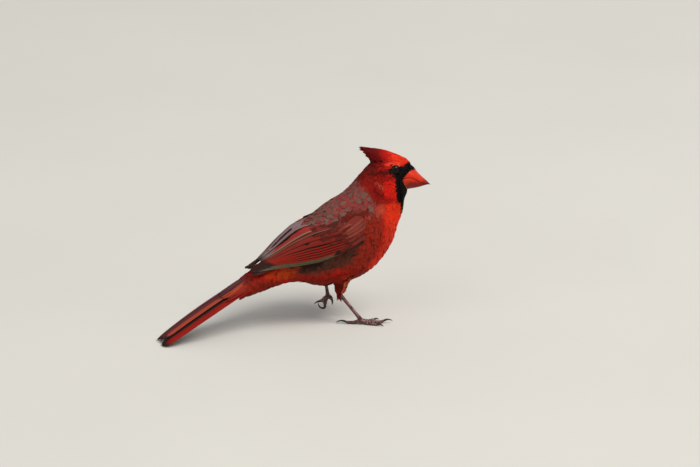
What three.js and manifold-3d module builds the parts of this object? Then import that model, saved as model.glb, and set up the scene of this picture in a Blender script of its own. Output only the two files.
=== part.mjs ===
// Northern cardinal, adult male, life size: a still display model standing on the ground.
//
// Millimetres, +Z up. The bird looks along +X, and +Y is its left.
// The head, body, wings and tail are modelled straight and then bent in plan, the way the
// living bird turns its tail to one side. The legs are made in place, since each has its own pose.

import * as THREE from 'three';
import { mergeVertices } from 'three/addons/utils/BufferGeometryUtils.js';
import Module from 'manifold-3d';

const wasm = await Module();
wasm.setup();

// Driving dimensions, millimetres and degrees.

const GAP = 0.3; // clearance between pieces that meet
const HALF_GAP = GAP / 2; // kept by each of the two pieces
const PARTING = 0.36; // clearance where the body is divided into head, neck, trunk and coverts
const SIDES = { right: -1, left: 1 };

const YAW_OF_TAIL = 24; // how far each stretch is turned from the head's heading
const YAW_OF_TRUNK = 14;
const YAW_OF_HEAD = 0;
const TRUNK_TURNS_TO_TAIL = [-31, -54]; // stations where one heading becomes the next
const NECK_TURNS_TO_HEAD = [8, 35];

const WING_CLEARANCE = 0.45; // between the folded wing and the body under it
const WING_THICKNESS = 2.8;
const FLIGHT_FEATHER_THICKNESS = 2.1;
const WINGS_APART = 1.4; // between the folded wings, over the rump
const LIFT_TO_THE_SIDE = 0.3; // how much of the wings' lift also stands out sideways

const TAIL_ROOT = -77;
const TAIL_TIP = -136.0;
const TAIL_HEIGHT_AT_ROOT = 32.8;
const TAIL_HEIGHT_AT_TIP = 1.3;
const TAIL_HALF_WIDTH_AT_ROOT = 10.6;
const TAIL_HALF_WIDTH_AT_TIP = 9.0;
const TAIL_BULGE = 1.1; // how much wider the middle of its length is than a straight taper
const TAIL_ARCH = 0.8; // how far it bows upwards between its root and its tip
const TAIL_THICKNESS = 2.4;
const TAIL_EDGE_THICKNESS = 0.9;
const TAIL_ROOF_DROP = 1.6; // the edges hang this far below the middle feathers
const TAIL_LOBE_ROUNDING = 4.4; // the notch, and the rounding of the outer corners
const TAIL_LOBE_MIDDLE = 0.5; // each lobe's tip, as a share of the half width
const TAIL_LENGTH_STEPS = 9;
const TAIL_WIDTH_STEPS = 8;

const EYE_RADIUS = 4.1;
const EYE_PLACE = [34.6, 5.7, 110.5];
const EYE_SEGMENTS = [12, 8];

const TARSUS_RADIUS = 1.1;
const KNOB_RADIUS = 1.49; // the shank's thicker ends
const TOE_RADIUS = 1.35;
const TOE_TAPER = 0.1; // the share of its radius that a toe loses at each joint
const PAD_RADIUS = 2.3;
const PAD_SEGMENTS = [8, 6];
const PAD_DROP = 1.25; // the pad's middle lies this far under the toes' common root
const CLAW_RADII = [0.98, 1.0, 0.86, 0.56, 0.28];
const CLAW_BONES = 3; // equal stretches, each more curled than the last
const CLAW_ROOT = 0.7; // the straight stretch at a claw's root
const CLAW_FLATTENING = 0.8; // a claw's width over its depth
const THIGH_SIDES = 12;
const SHANK_SIDES = 8;
const TOE_SIDES = 6;

const ANGULAR_STEPS = 24; // sides of the body's loft
const BODY_STEPS_PER_RIB = 2;
const WING_STEPS_PER_RIB = 1;
const OUTSIDE = 60; // reaches past every flank
const FLOOR_SIZE = 600; // the block that shapes are cut off by at ground level
const MERGE_DISTANCE = 1e-4; // points closer than this are one

// Each rib is a section across the body: its top and bottom as [station, height], its greatest
// half width, how high up that width sits (0 at the bottom, 1 at the top), and how full its
// outline is (2 is an ellipse, more is squarer). Lift is how far the folded wings stand clear
// of the rump there.
const RIBS = [
  { name: 'bill base', top: [46.2, 110.4], bottom: [44.0, 94.2], half: 5.9, widest: 0.46, full: 2.2 },
  { name: 'lores', top: [42.2, 114.2], bottom: [43.0, 91.2], half: 7.8, widest: 0.46, full: 2.2 },
  { name: 'forehead', top: [36.6, 117.2], bottom: [41.8, 88.6], half: 9.9, widest: 0.44, full: 2.25 },
  { name: 'crown', top: [30.2, 118.4], bottom: [41.2, 85.8], half: 11.3, widest: 0.44, full: 2.3 },
  { name: 'ear', top: [24.0, 117.6], bottom: [40.8, 83.2], half: 11.8, widest: 0.44, full: 2.3 },
  { name: 'hind crown', top: [18.9, 114.6], bottom: [40.6, 80.6],
    half: 12.1, widest: 0.44, full: 2.25 },
  { name: 'nape', top: [14.7, 110.0], bottom: [40.1, 77.8], half: 12.6, widest: 0.45, full: 2.2 },
  { name: 'throat', top: [10.1, 104.6], bottom: [38.9, 73.6], half: 13.8, widest: 0.46, full: 2.2 },
  { name: 'neck', top: [5.8, 99.2], bottom: [37.2, 68.8], half: 15.7, widest: 0.47, full: 2.2 },
  { name: 'shoulders', top: [0.8, 94.0], bottom: [36.0, 63.4], half: 17.8, widest: 0.48, full: 2.2 },
  { name: 'upper breast', top: [-5.0, 90.0], bottom: [34.0, 57.6],
    half: 19.4, widest: 0.5, full: 2.25 },
  { name: 'mantle', top: [-12.8, 85.6], bottom: [30.2, 50.4], half: 20.2, widest: 0.52, full: 2.3 },
  { name: 'breast', top: [-20.8, 79.6], bottom: [24.6, 42.6], half: 20.3, widest: 0.53, full: 2.3 },
  { name: 'back', top: [-28.7, 74.2], bottom: [17.0, 35.8],
    half: 19.8, widest: 0.54, full: 2.3, lift: 0.6 },
  { name: 'belly', top: [-36.2, 67.2], bottom: [6.6, 30.6],
    half: 18.6, widest: 0.54, full: 2.3, lift: 1.8 },
  { name: 'lower back', top: [-42.8, 61.2], bottom: [-6.0, 27.8],
    half: 16.8, widest: 0.55, full: 2.25, lift: 2.6 },
  { name: 'vent', top: [-49.2, 55.4], bottom: [-19.4, 27.6],
    half: 14.4, widest: 0.56, full: 2.2, lift: 2.8 },
  { name: 'rump', top: [-55.4, 50.0], bottom: [-32.0, 31.6],
    half: 11.8, widest: 0.56, full: 2.2, lift: 2.7 },
  { name: 'tail coverts', top: [-61.0, 45.4], bottom: [-44.0, 31.2],
    half: 10.4, widest: 0.58, full: 2.2, lift: 2.8 },
  { name: 'under coverts', top: [-66.8, 41.4], bottom: [-56.6, 29.0],
    half: 10.0, widest: 0.6, full: 2.2, lift: 3.2 },
  { name: 'covert tips', top: [-79.0, 34.4], bottom: [-75.6, 26.6],
    half: 10.5, widest: 0.55, full: 2.2, lift: 3.2 },
];
const NECK_STARTS_AT = 6.4; // counted in ribs from the bill
const TRUNK_STARTS_AT = 9.2;
const COVERTS_START_AT = 17.2;

// The crest rises from the forehead and ends in a point above the nape. A section has its
// station, the heights of its foot and its top, and its half width, and narrows upwards.
const CREST_SIDES = 12;
const CREST_NARROWING = 0.45;
const CREST_SECTIONS = [
  { station: 46.4, foot: 110.8, top: 112.4, half: 1.2 },
  { station: 42.8, foot: 111.8, top: 116.4, half: 4.2 },
  { station: 36.2, foot: 113.4, top: 119.4, half: 6.3 },
  { station: 28.4, foot: 113.6, top: 122.4, half: 6.9 },
  { station: 21.6, foot: 112.6, top: 124.0, half: 6.0 },
  { station: 17.4, foot: 115.4, top: 124.5, half: 4.4 },
  { station: 13.2, foot: 120.8, top: 124.8, half: 2.6 },
  { station: 9.4, foot: 124.0, top: 125.1, half: 0.8 },
];

// The bill in profile, from the gape to the tip.
const CULMEN = [[46.4, 110.4], [49.4, 107.2], [52.0, 104.2], [54.6, 101.8], [57.2, 99.5], [59.3, 97.1]];
const MOUTH_LINE = [[39.6, 103.8], [44.2, 104.8], [48.5, 103.0], [52.3, 99.9], [55.6, 98.9], [58.6, 97.7]];
const GONYS = [[41.0, 94.2], [44.6, 94.8], [48.2, 95.3], [51.8, 96.2], [55.0, 97.2], [57.5, 97.8]];
const BILL_HALF_WIDTHS = [8.8, 7.7, 6.1, 4.3, 2.6, 0.6];
const UPPER_BILL_FULLNESS = 0.85; // 1 is a round section, less is squarer
const LOWER_BILL_FULLNESS = 0.65;
const BILL_RISE = 0.9; // how soon a section rises from its widest level to its ridge
const BILL_LENGTH_STEPS = 9;
const BILL_ROUND_STEPS = 8;

// The folded wing's outline on the flank, from the wrist down and back along the lower edge to
// the longest primary. Over the back it runs above the body and stops near the middle.
const WING_WRIST = [16.4, 82.2];
const WING_FRONT = [[13.2, 79.0], [8.6, 73.2], [6.6, 66.4], [3.4, 59.4]];
const WING_LOWER_EDGE = [[-6.8, 57.0], [-21.3, 53.7], [-36.9, 49.7], [-53.7, 45.6], [-64.4, 43.2]];
const WING_TIP = [-70.2, 42.6];
const WING_OVER_BACK = [[-68.0, 60.0], [-48.0, 82.0]];
const SCAPULAR_EDGE = [[-35.0, 71.6], [-27.0, 72.2], [-14.0, 74.8], [0.0, 77.6], [9.0, 81.0]];
const COVERTS_END = [[-8.4, 53.6], [-33.0, 79.0]]; // behind this line lie the flight feathers
const SECONDARIES_END = [[6.0, 60.0], [-72.0, 47.2]]; // below this line lie the primaries

// Legs, in place. Each has its thigh feathers, its bare shank down to the toes, and four toes
// given by heading (degrees to the left of +X), the pitch of each toe bone and of the claw.
const LEGS = {
  right: {
    thigh: [[-1.2, -10.6, 38], [-2.4, -10.8, 31], [-3.2, -10.5, 25.4], [-3.8, -10.2, 19.4]],
    thighRadii: [7.4, 5.0, 3.5, 1.9],
    heel: [-3.6, -10.2, 22.4],
    toeBase: [11.0, -9.5, 3.3],
    toes: {
      middle: {
        heading: 5, pitches: [-23, -1, 8], bones: [5.6, 5.4, 5.0],
        claw: 6.6, clawPitch: 30, clawCurl: -64,
      },
      inner: {
        heading: 32, pitches: [-24, -1], bones: [5.4, 5.0],
        claw: 5.4, clawPitch: 26, clawCurl: -64,
      },
      outer: {
        heading: -16, pitches: [-30, -1, -1], bones: [4.4, 4.2, 3.8],
        claw: 5.0, clawPitch: 22, clawCurl: -64,
      },
      hind: {
        heading: 176, pitches: [-27, -1], bones: [4.8, 5.0],
        claw: 8.2, clawPitch: 18, clawCurl: -62,
      },
    },
  },
  left: {
    thigh: [[-12.0, 11.0, 38], [-12.8, 11.6, 31], [-13.4, 12.0, 25.0], [-13.0, 12.2, 19.8]],
    thighRadii: [7.6, 5.6, 3.2, 1.7],
    heel: [-13.6, 12.2, 24.2],
    toeBase: [-12.0, 12.2, 13.2],
    toes: {
      middle: {
        heading: 160, pitches: [-64, -80, -92], bones: [3.7, 3.3, 2.8],
        claw: 8.0, clawPitch: -60, clawCurl: 116,
      },
      inner: {
        heading: 198, pitches: [-40, -34], bones: [3.4, 3.2],
        claw: 5.4, clawPitch: 10, clawCurl: -60,
      },
      outer: {
        heading: 126, pitches: [-60, -76], bones: [4.2, 3.6],
        claw: 5.2, clawPitch: -50, clawCurl: 100,
      },
      hind: {
        heading: -14, pitches: [-34, -58], bones: [2.3, 1.8],
        claw: 4.4, clawPitch: -74, clawCurl: -34,
      },
    },
  },
};

// Colours as seen on the bird, with how rough each surface is.

const FINISHES = {
  head: { color: 0xc8281c, roughness: 0.85 },
  crest: { color: 0xc9281e, roughness: 0.85 },
  neck: { color: 0xbf2a20, roughness: 0.85 },
  trunk: { color: 0xb9261c, roughness: 0.85 },
  coverts: { color: 0x8f2a26, roughness: 0.8 },
  secondaries: { color: 0x9c2b25, roughness: 0.75 },
  primaries: { color: 0x6b4a45, roughness: 0.7 },
  tail: { color: 0x7c2a26, roughness: 0.7 },
  thigh: { color: 0xa33a2c, roughness: 0.85 },
  bill: { color: 0xd9542b, roughness: 0.45 },
  lowerBill: { color: 0xb9402a, roughness: 0.45 },
  eye: { color: 0x120b09, roughness: 0.08 },
  leg: { color: 0x5a2f2b, roughness: 0.6 },
  claw: { color: 0x1c1412, roughness: 0.4 },
};

// Small helpers for shapes.

const radians = THREE.MathUtils.degToRad;
const { lerp, smoothstep } = THREE.MathUtils;

function splineAt(points, t) {
  const curve = new THREE.SplineCurve(points.map(([x, y]) => new THREE.Vector2(x, y)));
  return curve.getPoint(t);
}

// The triangles of the wall that joins each ring of points to the next.
function wallBetween(rings) {
  const sides = rings[0].length;
  const triangles = [];
  for (let i = 0; i < rings.length - 1; i += 1) {
    for (let j = 0; j < sides; j += 1) {
      const a = i * sides + j;
      const b = i * sides + ((j + 1) % sides);
      triangles.push(a, b, a + sides, b, b + sides, a + sides);
    }
  }
  return triangles;
}

// Joins rings of points into one closed body, each end closed by a fan round its middle.
function loft(rings) {
  const sides = rings[0].length;
  const positions = rings.flat();
  const triangles = wallBetween(rings);
  const lastStart = (rings.length - 1) * sides;
  const firstMiddle = positions.push(middleOf(rings[0])) - 1;
  const lastMiddle = positions.push(middleOf(rings.at(-1))) - 1;
  for (let j = 0; j < sides; j += 1) {
    const next = (j + 1) % sides;
    triangles.push(firstMiddle, next, j);
    triangles.push(lastMiddle, lastStart + j, lastStart + next);
  }
  return facingOut(meshFrom(positions, triangles));
}

function meshFrom(points, triangles) {
  const geometry = new THREE.BufferGeometry();
  geometry.setFromPoints(points);
  geometry.setIndex(triangles);
  return geometry;
}

function middleOf(points) {
  const sum = points.reduce((total, point) => total.add(point), new THREE.Vector3());
  return sum.divideScalar(points.length);
}

function signedVolume(geometry) {
  const { position } = geometry.attributes;
  const index = geometry.index.array;
  const [a, b, c] = [new THREE.Vector3(), new THREE.Vector3(), new THREE.Vector3()];
  let volume = 0;
  for (let i = 0; i < index.length; i += 3) {
    a.fromBufferAttribute(position, index[i]);
    b.fromBufferAttribute(position, index[i + 1]);
    c.fromBufferAttribute(position, index[i + 2]);
    volume += a.dot(b.cross(c)) / 6;
  }
  return volume;
}

function facingOut(geometry) {
  if (signedVolume(geometry) < 0) geometry.index.array.reverse();
  return geometry;
}

// A copy with every point moved outwards along its normal.
function grown(geometry, distance) {
  const copy = geometry.clone();
  copy.computeVertexNormals();
  const { position, normal } = copy.attributes;
  for (let i = 0; i < position.count; i += 1) {
    position.setXYZ(
      i,
      position.getX(i) + normal.getX(i) * distance,
      position.getY(i) + normal.getY(i) * distance,
      position.getZ(i) + normal.getZ(i) * distance,
    );
  }
  copy.deleteAttribute('normal');
  return copy;
}

function mirroredLeft(geometry) {
  const copy = geometry.clone();
  copy.scale(1, -1, 1);
  copy.index.array.reverse();
  return copy;
}

// Joins and cuts.

function solid(geometry) {
  const bare = geometry.clone();
  bare.deleteAttribute('normal');
  bare.deleteAttribute('uv');
  const merged = mergeVertices(bare, MERGE_DISTANCE);
  return new wasm.Manifold(new wasm.Mesh({
    numProp: 3,
    vertProperties: new Float32Array(merged.attributes.position.array),
    triVerts: new Uint32Array(merged.index.array),
  }));
}

function geometryOf(manifold) {
  const { vertProperties, triVerts } = manifold.getMesh();
  const geometry = new THREE.BufferGeometry();
  geometry.setAttribute('position', new THREE.BufferAttribute(vertProperties, 3));
  geometry.setIndex(new THREE.BufferAttribute(triVerts, 1));
  return geometry;
}

const without = (geometry, ...cutters) => geometryOf(
  cutters.reduce((left, cutter) => left.subtract(solid(cutter)), solid(geometry)),
);
const within = (geometry, ...limits) => geometryOf(
  limits.reduce((left, limit) => left.intersect(solid(limit)), solid(geometry)),
);
const joined = (first, ...others) => geometryOf(
  others.reduce((whole, other) => whole.add(solid(other)), solid(first)),
);

// The bend in plan: the heading changes with the station, and points keep their distance
// to the side of the middle line.

function headingAt(station) {
  const [trunkEnd, tailStart] = TRUNK_TURNS_TO_TAIL;
  const [neckStart, headStart] = NECK_TURNS_TO_HEAD;
  const towardsTail = smoothstep(-station, -trunkEnd, -tailStart);
  const towardsHead = smoothstep(station, neckStart, headStart);
  const yaw = lerp(lerp(YAW_OF_TRUNK, YAW_OF_TAIL, towardsTail), YAW_OF_HEAD, towardsHead);
  return radians(yaw);
}

const MIDDLE_LINE_START = -150;
const MIDDLE_LINE_END = 80;
const MIDDLE_LINE_STEP = 0.5;

const middleLine = [new THREE.Vector2()];
for (let s = MIDDLE_LINE_START; s < MIDDLE_LINE_END; s += MIDDLE_LINE_STEP) {
  const heading = headingAt(s + MIDDLE_LINE_STEP / 2);
  const step = new THREE.Vector2(Math.cos(heading), Math.sin(heading)).multiplyScalar(MIDDLE_LINE_STEP);
  middleLine.push(middleLine.at(-1).clone().add(step));
}
const underTheBody = middleLine[-MIDDLE_LINE_START / MIDDLE_LINE_STEP].clone();
middleLine.forEach((point) => point.sub(underTheBody));

function middleLineAt(station) {
  const steps = (station - MIDDLE_LINE_START) / MIDDLE_LINE_STEP;
  const i = Math.floor(steps);
  return middleLine[i].clone().lerp(middleLine[i + 1], steps - i);
}

function bent(geometry) {
  const copy = geometry.clone();
  const { position } = copy.attributes;
  for (let i = 0; i < position.count; i += 1) {
    const station = position.getX(i);
    const side = position.getY(i);
    const heading = headingAt(station);
    const middle = middleLineAt(station);
    position.setX(i, middle.x - side * Math.sin(heading));
    position.setY(i, middle.y + side * Math.cos(heading));
  }
  return copy;
}

// The body: one loft through the ribs, taken in stretches.

function ribAt(t) {
  const i = THREE.MathUtils.clamp(Math.floor(t), 0, RIBS.length - 2);
  const around = [i - 1, i, i + 1, i + 2].map((k) => RIBS[THREE.MathUtils.clamp(k, 0, RIBS.length - 1)]);
  const blend = (read) => {
    const [p0, p1, p2, p3] = around.map(read);
    const f = t - i;
    const tangentIn = (p2 - p0) / 2;
    const tangentOut = (p3 - p1) / 2;
    const cubic = 2 * p1 - 2 * p2 + tangentIn + tangentOut;
    const square = 3 * p2 - 3 * p1 - 2 * tangentIn - tangentOut;
    return ((cubic * f + square) * f + tangentIn) * f + p1;
  };
  return {
    top: [blend((rib) => rib.top[0]), blend((rib) => rib.top[1])],
    bottom: [blend((rib) => rib.bottom[0]), blend((rib) => rib.bottom[1])],
    half: blend((rib) => rib.half),
    widest: blend((rib) => rib.widest),
    full: blend((rib) => rib.full),
    lift: blend((rib) => rib.lift ?? 0),
  };
}

function ringOf({ top, bottom, half, widest, full }) {
  const ring = [];
  const skew = Math.log(widest) / Math.log(0.5);
  for (let j = 0; j < ANGULAR_STEPS; j += 1) {
    const angle = (j / ANGULAR_STEPS) * 2 * Math.PI;
    const upDown = Math.sign(Math.cos(angle)) * Math.abs(Math.cos(angle)) ** (2 / full);
    const leftRight = Math.sign(Math.sin(angle)) * Math.abs(Math.sin(angle)) ** (2 / full);
    const rise = ((1 + upDown) / 2) ** skew;
    ring.push(new THREE.Vector3(
      lerp(bottom[0], top[0], rise),
      half * leftRight,
      lerp(bottom[1], top[1], rise),
    ));
  }
  return ring;
}

function bodyStretch(from, to, shapeOf = ribAt, stepsPerRib = BODY_STEPS_PER_RIB) {
  const steps = Math.max(2, Math.round((to - from) * stepsPerRib));
  const rings = [];
  for (let i = 0; i <= steps; i += 1) {
    rings.push(ringOf(shapeOf(lerp(from, to, i / steps))));
  }
  return loft(rings);
}

// The surface that the folded wings lie along: the body, with the wings' lift over the rump.
function liftedRibAt(t) {
  const rib = ribAt(t);
  return {
    ...rib,
    top: [rib.top[0], rib.top[1] + rib.lift],
    half: rib.half + rib.lift * LIFT_TO_THE_SIDE,
  };
}

// How far the parting reaches along the rib count, at its tighter end.
function clearanceAt(t) {
  const probe = 0.05; // a step in the rib count, small beside the spacing of the ribs
  const before = ribAt(t - probe);
  const after = ribAt(t + probe);
  const travel = Math.min(
    Math.hypot(after.top[0] - before.top[0], after.top[1] - before.top[1]),
    Math.hypot(after.bottom[0] - before.bottom[0], after.bottom[1] - before.bottom[1]),
  );
  return (PARTING / travel) * probe;
}

function bodyPiece(startsAt, endsAt) {
  const last = RIBS.length - 1;
  const from = startsAt > 0 ? startsAt + clearanceAt(startsAt) : 0;
  const to = endsAt < last ? endsAt - clearanceAt(endsAt) : last;
  return bodyStretch(from, to);
}

const wholeBody = bodyStretch(0, RIBS.length - 1);
const bodyWithGap = grown(wholeBody, GAP);
const underTheWings = bodyStretch(0, RIBS.length - 1, liftedRibAt, WING_STEPS_PER_RIB);

// Eyes: balls set into the sides of the head.

function eyeball(side, radius = EYE_RADIUS) {
  const [station, out, height] = EYE_PLACE;
  const ball = new THREE.SphereGeometry(radius, ...EYE_SEGMENTS);
  ball.rotateX(Math.PI / 2);
  ball.translate(station, side * out, height);
  return ball;
}

const eyeSocket = (side) => eyeball(side, EYE_RADIUS + GAP);

const neck = bodyPiece(NECK_STARTS_AT, TRUNK_STARTS_AT);
const trunk = bodyPiece(TRUNK_STARTS_AT, COVERTS_START_AT);
const coverts = bodyPiece(COVERTS_START_AT, RIBS.length - 1);

// Crest: a wedge of long crown feathers, full at its foot and thin along its top.

function crestRing({ station, foot, top, half }) {
  const ring = [];
  for (let j = 0; j < CREST_SIDES; j += 1) {
    const angle = (j / CREST_SIDES) * 2 * Math.PI;
    const rise = (1 + Math.cos(angle)) / 2;
    const reach = half * (1 - CREST_NARROWING * rise);
    ring.push(new THREE.Vector3(station, reach * Math.sin(angle), lerp(foot, top, rise)));
  }
  return ring;
}

const crest = without(loft(CREST_SECTIONS.map(crestRing)), bodyWithGap);

// Bill: two cones that meet along the mouth line.

// A section across one mandible, grown on every side by the margin.
function billRing(mandible, t, margin) {
  const ridge = splineAt(mandible.edge, t);
  const mouth = splineAt(MOUTH_LINE, t);
  const outwards = ridge.clone().sub(mouth).normalize().multiplyScalar(margin);
  ridge.add(outwards);
  mouth.sub(outwards);
  const widthAt = BILL_HALF_WIDTHS.map((width, i) => [i, width]);
  const half = splineAt(widthAt, t).y + margin;
  const ring = [];
  for (let j = 0; j <= BILL_ROUND_STEPS; j += 1) {
    const angle = (j / BILL_ROUND_STEPS) * Math.PI;
    const rise = Math.sin(angle) ** BILL_RISE;
    const reach = Math.sign(Math.cos(angle)) * Math.abs(Math.cos(angle)) ** mandible.fullness;
    ring.push(new THREE.Vector3(lerp(mouth.x, ridge.x, rise), half * reach, lerp(mouth.y, ridge.y, rise)));
  }
  return ring;
}

function billHalf(mandible, margin = 0) {
  const rings = [];
  for (let i = 0; i <= BILL_LENGTH_STEPS; i += 1) {
    rings.push(billRing(mandible, i / BILL_LENGTH_STEPS, margin));
  }
  if (margin > 0) {
    rings.unshift(rings[0].map((point) => point.clone().setX(point.x - margin)));
  }
  const piece = loft(rings);
  piece.translate(0, 0, mandible.shift);
  return piece;
}

const MANDIBLES = {
  upper: { edge: CULMEN, fullness: UPPER_BILL_FULLNESS, shift: HALF_GAP },
  lower: { edge: GONYS, fullness: LOWER_BILL_FULLNESS, shift: -HALF_GAP },
};
const billUpper = billHalf(MANDIBLES.upper);
const billLower = billHalf(MANDIBLES.lower);
const billPocket = joined(billHalf(MANDIBLES.upper, GAP), billHalf(MANDIBLES.lower, GAP));

const head = without(
  bodyPiece(0, NECK_STARTS_AT),
  billPocket,
  eyeSocket(SIDES.right),
  eyeSocket(SIDES.left),
);

// Wings: each is the part of a thicker body that lies inside the wing's outline, so it fits
// the flank. It is divided into coverts, secondaries and primaries.

function sidePrism(shape) {
  const prism = new THREE.ExtrudeGeometry(shape, { depth: OUTSIDE, bevelEnabled: false, curveSegments: 4 });
  prism.rotateX(Math.PI / 2);
  prism.translate(0, -WINGS_APART / 2, 0);
  return prism;
}

function wingOutline() {
  const vectors = (points) => points.map(([x, y]) => new THREE.Vector2(x, y));
  const outline = new THREE.Shape();
  outline.moveTo(...WING_WRIST);
  outline.splineThru(vectors(WING_FRONT));
  outline.splineThru(vectors([...WING_LOWER_EDGE, WING_TIP]));
  outline.lineTo(...WING_OVER_BACK[0]);
  outline.lineTo(...WING_OVER_BACK[1]);
  outline.lineTo(...SCAPULAR_EDGE[0]);
  outline.splineThru(vectors([...SCAPULAR_EDGE.slice(1), WING_WRIST]));
  return outline;
}

// Everything to the left of the line, as one walks from its first point to its second.
function leftOf([from, to], clearance) {
  const start = new THREE.Vector2(...from);
  const along = new THREE.Vector2(...to).sub(start).normalize();
  const across = new THREE.Vector2(-along.y, along.x);
  const far = 3 * OUTSIDE;
  const corner = (a, b) => start.clone().addScaledVector(along, a).addScaledVector(across, b);
  return new THREE.Shape([
    corner(-far, clearance), corner(far, clearance), corner(far, far), corner(-far, far),
  ]);
}

function rightOf([from, to], clearance) {
  return leftOf([to, from], clearance);
}

function wingPiece(thickness, ...limits) {
  const limitPrisms = limits.map((limit) => sidePrism(limit));
  const shell = within(grown(underTheWings, thickness), sidePrism(wingOutline()), ...limitPrisms);
  return without(shell, grown(underTheWings, WING_CLEARANCE));
}

const behindCoverts = leftOf(COVERTS_END, HALF_GAP);
const rightWing = {
  coverts: wingPiece(WING_THICKNESS, rightOf(COVERTS_END, HALF_GAP)),
  secondaries: wingPiece(FLIGHT_FEATHER_THICKNESS, behindCoverts, rightOf(SECONDARIES_END, HALF_GAP)),
  primaries: wingPiece(FLIGHT_FEATHER_THICKNESS, behindCoverts, leftOf(SECONDARIES_END, HALF_GAP)),
};

// Tail: a shallow roof of folded feathers whose two halves end in rounded lobes.

function tailPoint(along, across, above) {
  const bow = Math.sin(Math.PI * along);
  const halfWidth = lerp(TAIL_HALF_WIDTH_AT_ROOT, TAIL_HALF_WIDTH_AT_TIP, along) + TAIL_BULGE * bow;
  const lobe = ((Math.abs(across) - TAIL_LOBE_MIDDLE) / TAIL_LOBE_MIDDLE) ** 2;
  const tip = TAIL_TIP + TAIL_LOBE_ROUNDING * lobe;
  const station = lerp(TAIL_ROOT, tip, along);
  const slope = (TAIL_HEIGHT_AT_ROOT - TAIL_HEIGHT_AT_TIP) / (TAIL_ROOT - TAIL_TIP);
  const ridge = TAIL_HEIGHT_AT_ROOT + (station - TAIL_ROOT) * slope + TAIL_ARCH * bow;
  const thickness = lerp(TAIL_THICKNESS, TAIL_EDGE_THICKNESS, Math.abs(across));
  const drop = TAIL_ROOF_DROP * Math.abs(across);
  return new THREE.Vector3(station, halfWidth * across, ridge - drop + (above * thickness) / 2);
}

function tailRings() {
  const rings = [];
  for (let i = 0; i <= TAIL_LENGTH_STEPS; i += 1) {
    const along = i / TAIL_LENGTH_STEPS;
    const upper = [];
    const lower = [];
    for (let j = 0; j <= TAIL_WIDTH_STEPS; j += 1) {
      const across = (2 * j) / TAIL_WIDTH_STEPS - 1;
      upper.push(tailPoint(along, across, 1));
      lower.push(tailPoint(along, across, -1));
    }
    rings.push([...upper, ...lower.reverse()]);
  }
  return rings;
}

// Closes a strip of rings whose ends aren't flat by joining the upper edge to the lower one.
function slab(rings) {
  const sides = rings[0].length;
  const triangles = wallBetween(rings);
  const last = (rings.length - 1) * sides;
  for (let j = 0; j < sides / 2 - 1; j += 1) {
    const [near, nextNear] = [j, j + 1];
    const [far, nextFar] = [sides - 1 - j, sides - 2 - j];
    triangles.push(nextNear, near, far, nextNear, far, nextFar);
    triangles.push(last + near, last + nextNear, last + far);
    triangles.push(last + nextNear, last + nextFar, last + far);
  }
  return facingOut(meshFrom(rings.flat(), triangles));
}

const floor = new THREE.BoxGeometry(FLOOR_SIZE, FLOOR_SIZE, FLOOR_SIZE);
floor.translate(0, 0, -FLOOR_SIZE / 2);

const tail = without(bent(slab(tailRings())), bent(grown(coverts, GAP)), floor);

// Legs.

// The level direction across a limb that lies in an upright plane with this heading.
function acrossHeading(heading) {
  return new THREE.Vector3(-Math.sin(radians(heading)), Math.cos(radians(heading)), 0);
}

function headingFrom(start, end) {
  return THREE.MathUtils.radToDeg(Math.atan2(end[1] - start[1], end[0] - start[0]));
}

// A tube along a curve through the points. Its radius runs evenly through the radii given,
// and its sections don't twist, because one level direction across it holds for them all.
function taperedTube(points, radii, sides, heading, flatten = 1) {
  const curve = new THREE.CatmullRomCurve3(points.map((point) => new THREE.Vector3(...point)));
  const across = acrossHeading(heading);
  const steps = 2 * (points.length - 1);
  const rings = [];
  for (let i = 0; i <= steps; i += 1) {
    const t = i / steps;
    const centre = curve.getPoint(t);
    const up = curve.getTangent(t).cross(across).normalize();
    const place = t * (radii.length - 1);
    const before = Math.min(Math.floor(place), radii.length - 2);
    const radius = lerp(radii[before], radii[before + 1], place - before);
    const ring = [];
    for (let j = 0; j < sides; j += 1) {
      const angle = (j / sides) * 2 * Math.PI;
      ring.push(centre.clone()
        .addScaledVector(across, radius * flatten * Math.cos(angle))
        .addScaledVector(up, radius * Math.sin(angle)));
    }
    rings.push(ring);
  }
  return loft(rings);
}

function stepFrom(point, heading, pitch, length) {
  const level = Math.cos(radians(pitch)) * length;
  return [
    point[0] + level * Math.cos(radians(heading)),
    point[1] + level * Math.sin(radians(heading)),
    point[2] + Math.sin(radians(pitch)) * length,
  ];
}

function toePoints(toeBase, { heading, pitches, bones }) {
  const points = [toeBase];
  bones.forEach((bone, i) => points.push(stepFrom(points.at(-1), heading, pitches[i], bone)));
  return points;
}

// A claw starts in line with the last toe bone, a clearance ahead of its end, and then curls.
function clawShape(toeEnd, { heading, pitches, claw, clawPitch, clawCurl }) {
  const toePitch = pitches.at(-1);
  const points = [stepFrom(toeEnd, heading, toePitch, GAP)];
  points.push(stepFrom(points[0], heading, toePitch, CLAW_ROOT));
  for (let i = 0; i < CLAW_BONES; i += 1) {
    const pitch = clawPitch + (clawCurl * i) / (CLAW_BONES - 1);
    points.push(stepFrom(points.at(-1), heading, pitch, (claw - CLAW_ROOT) / CLAW_BONES));
  }
  return taperedTube(points, CLAW_RADII, TOE_SIDES, heading, CLAW_FLATTENING);
}

function bareFoot({ toeBase, toes }) {
  const parts = Object.values(toes).map((toe) => {
    const points = toePoints(toeBase, toe);
    const radii = points.map((_, i) => TOE_RADIUS * (1 - TOE_TAPER * i));
    return taperedTube(points, radii, TOE_SIDES, toe.heading);
  });
  const pad = new THREE.SphereGeometry(PAD_RADIUS, ...PAD_SEGMENTS);
  pad.translate(toeBase[0], toeBase[1], toeBase[2] - PAD_DROP);
  return without(joined(pad, ...parts), floor);
}

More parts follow.
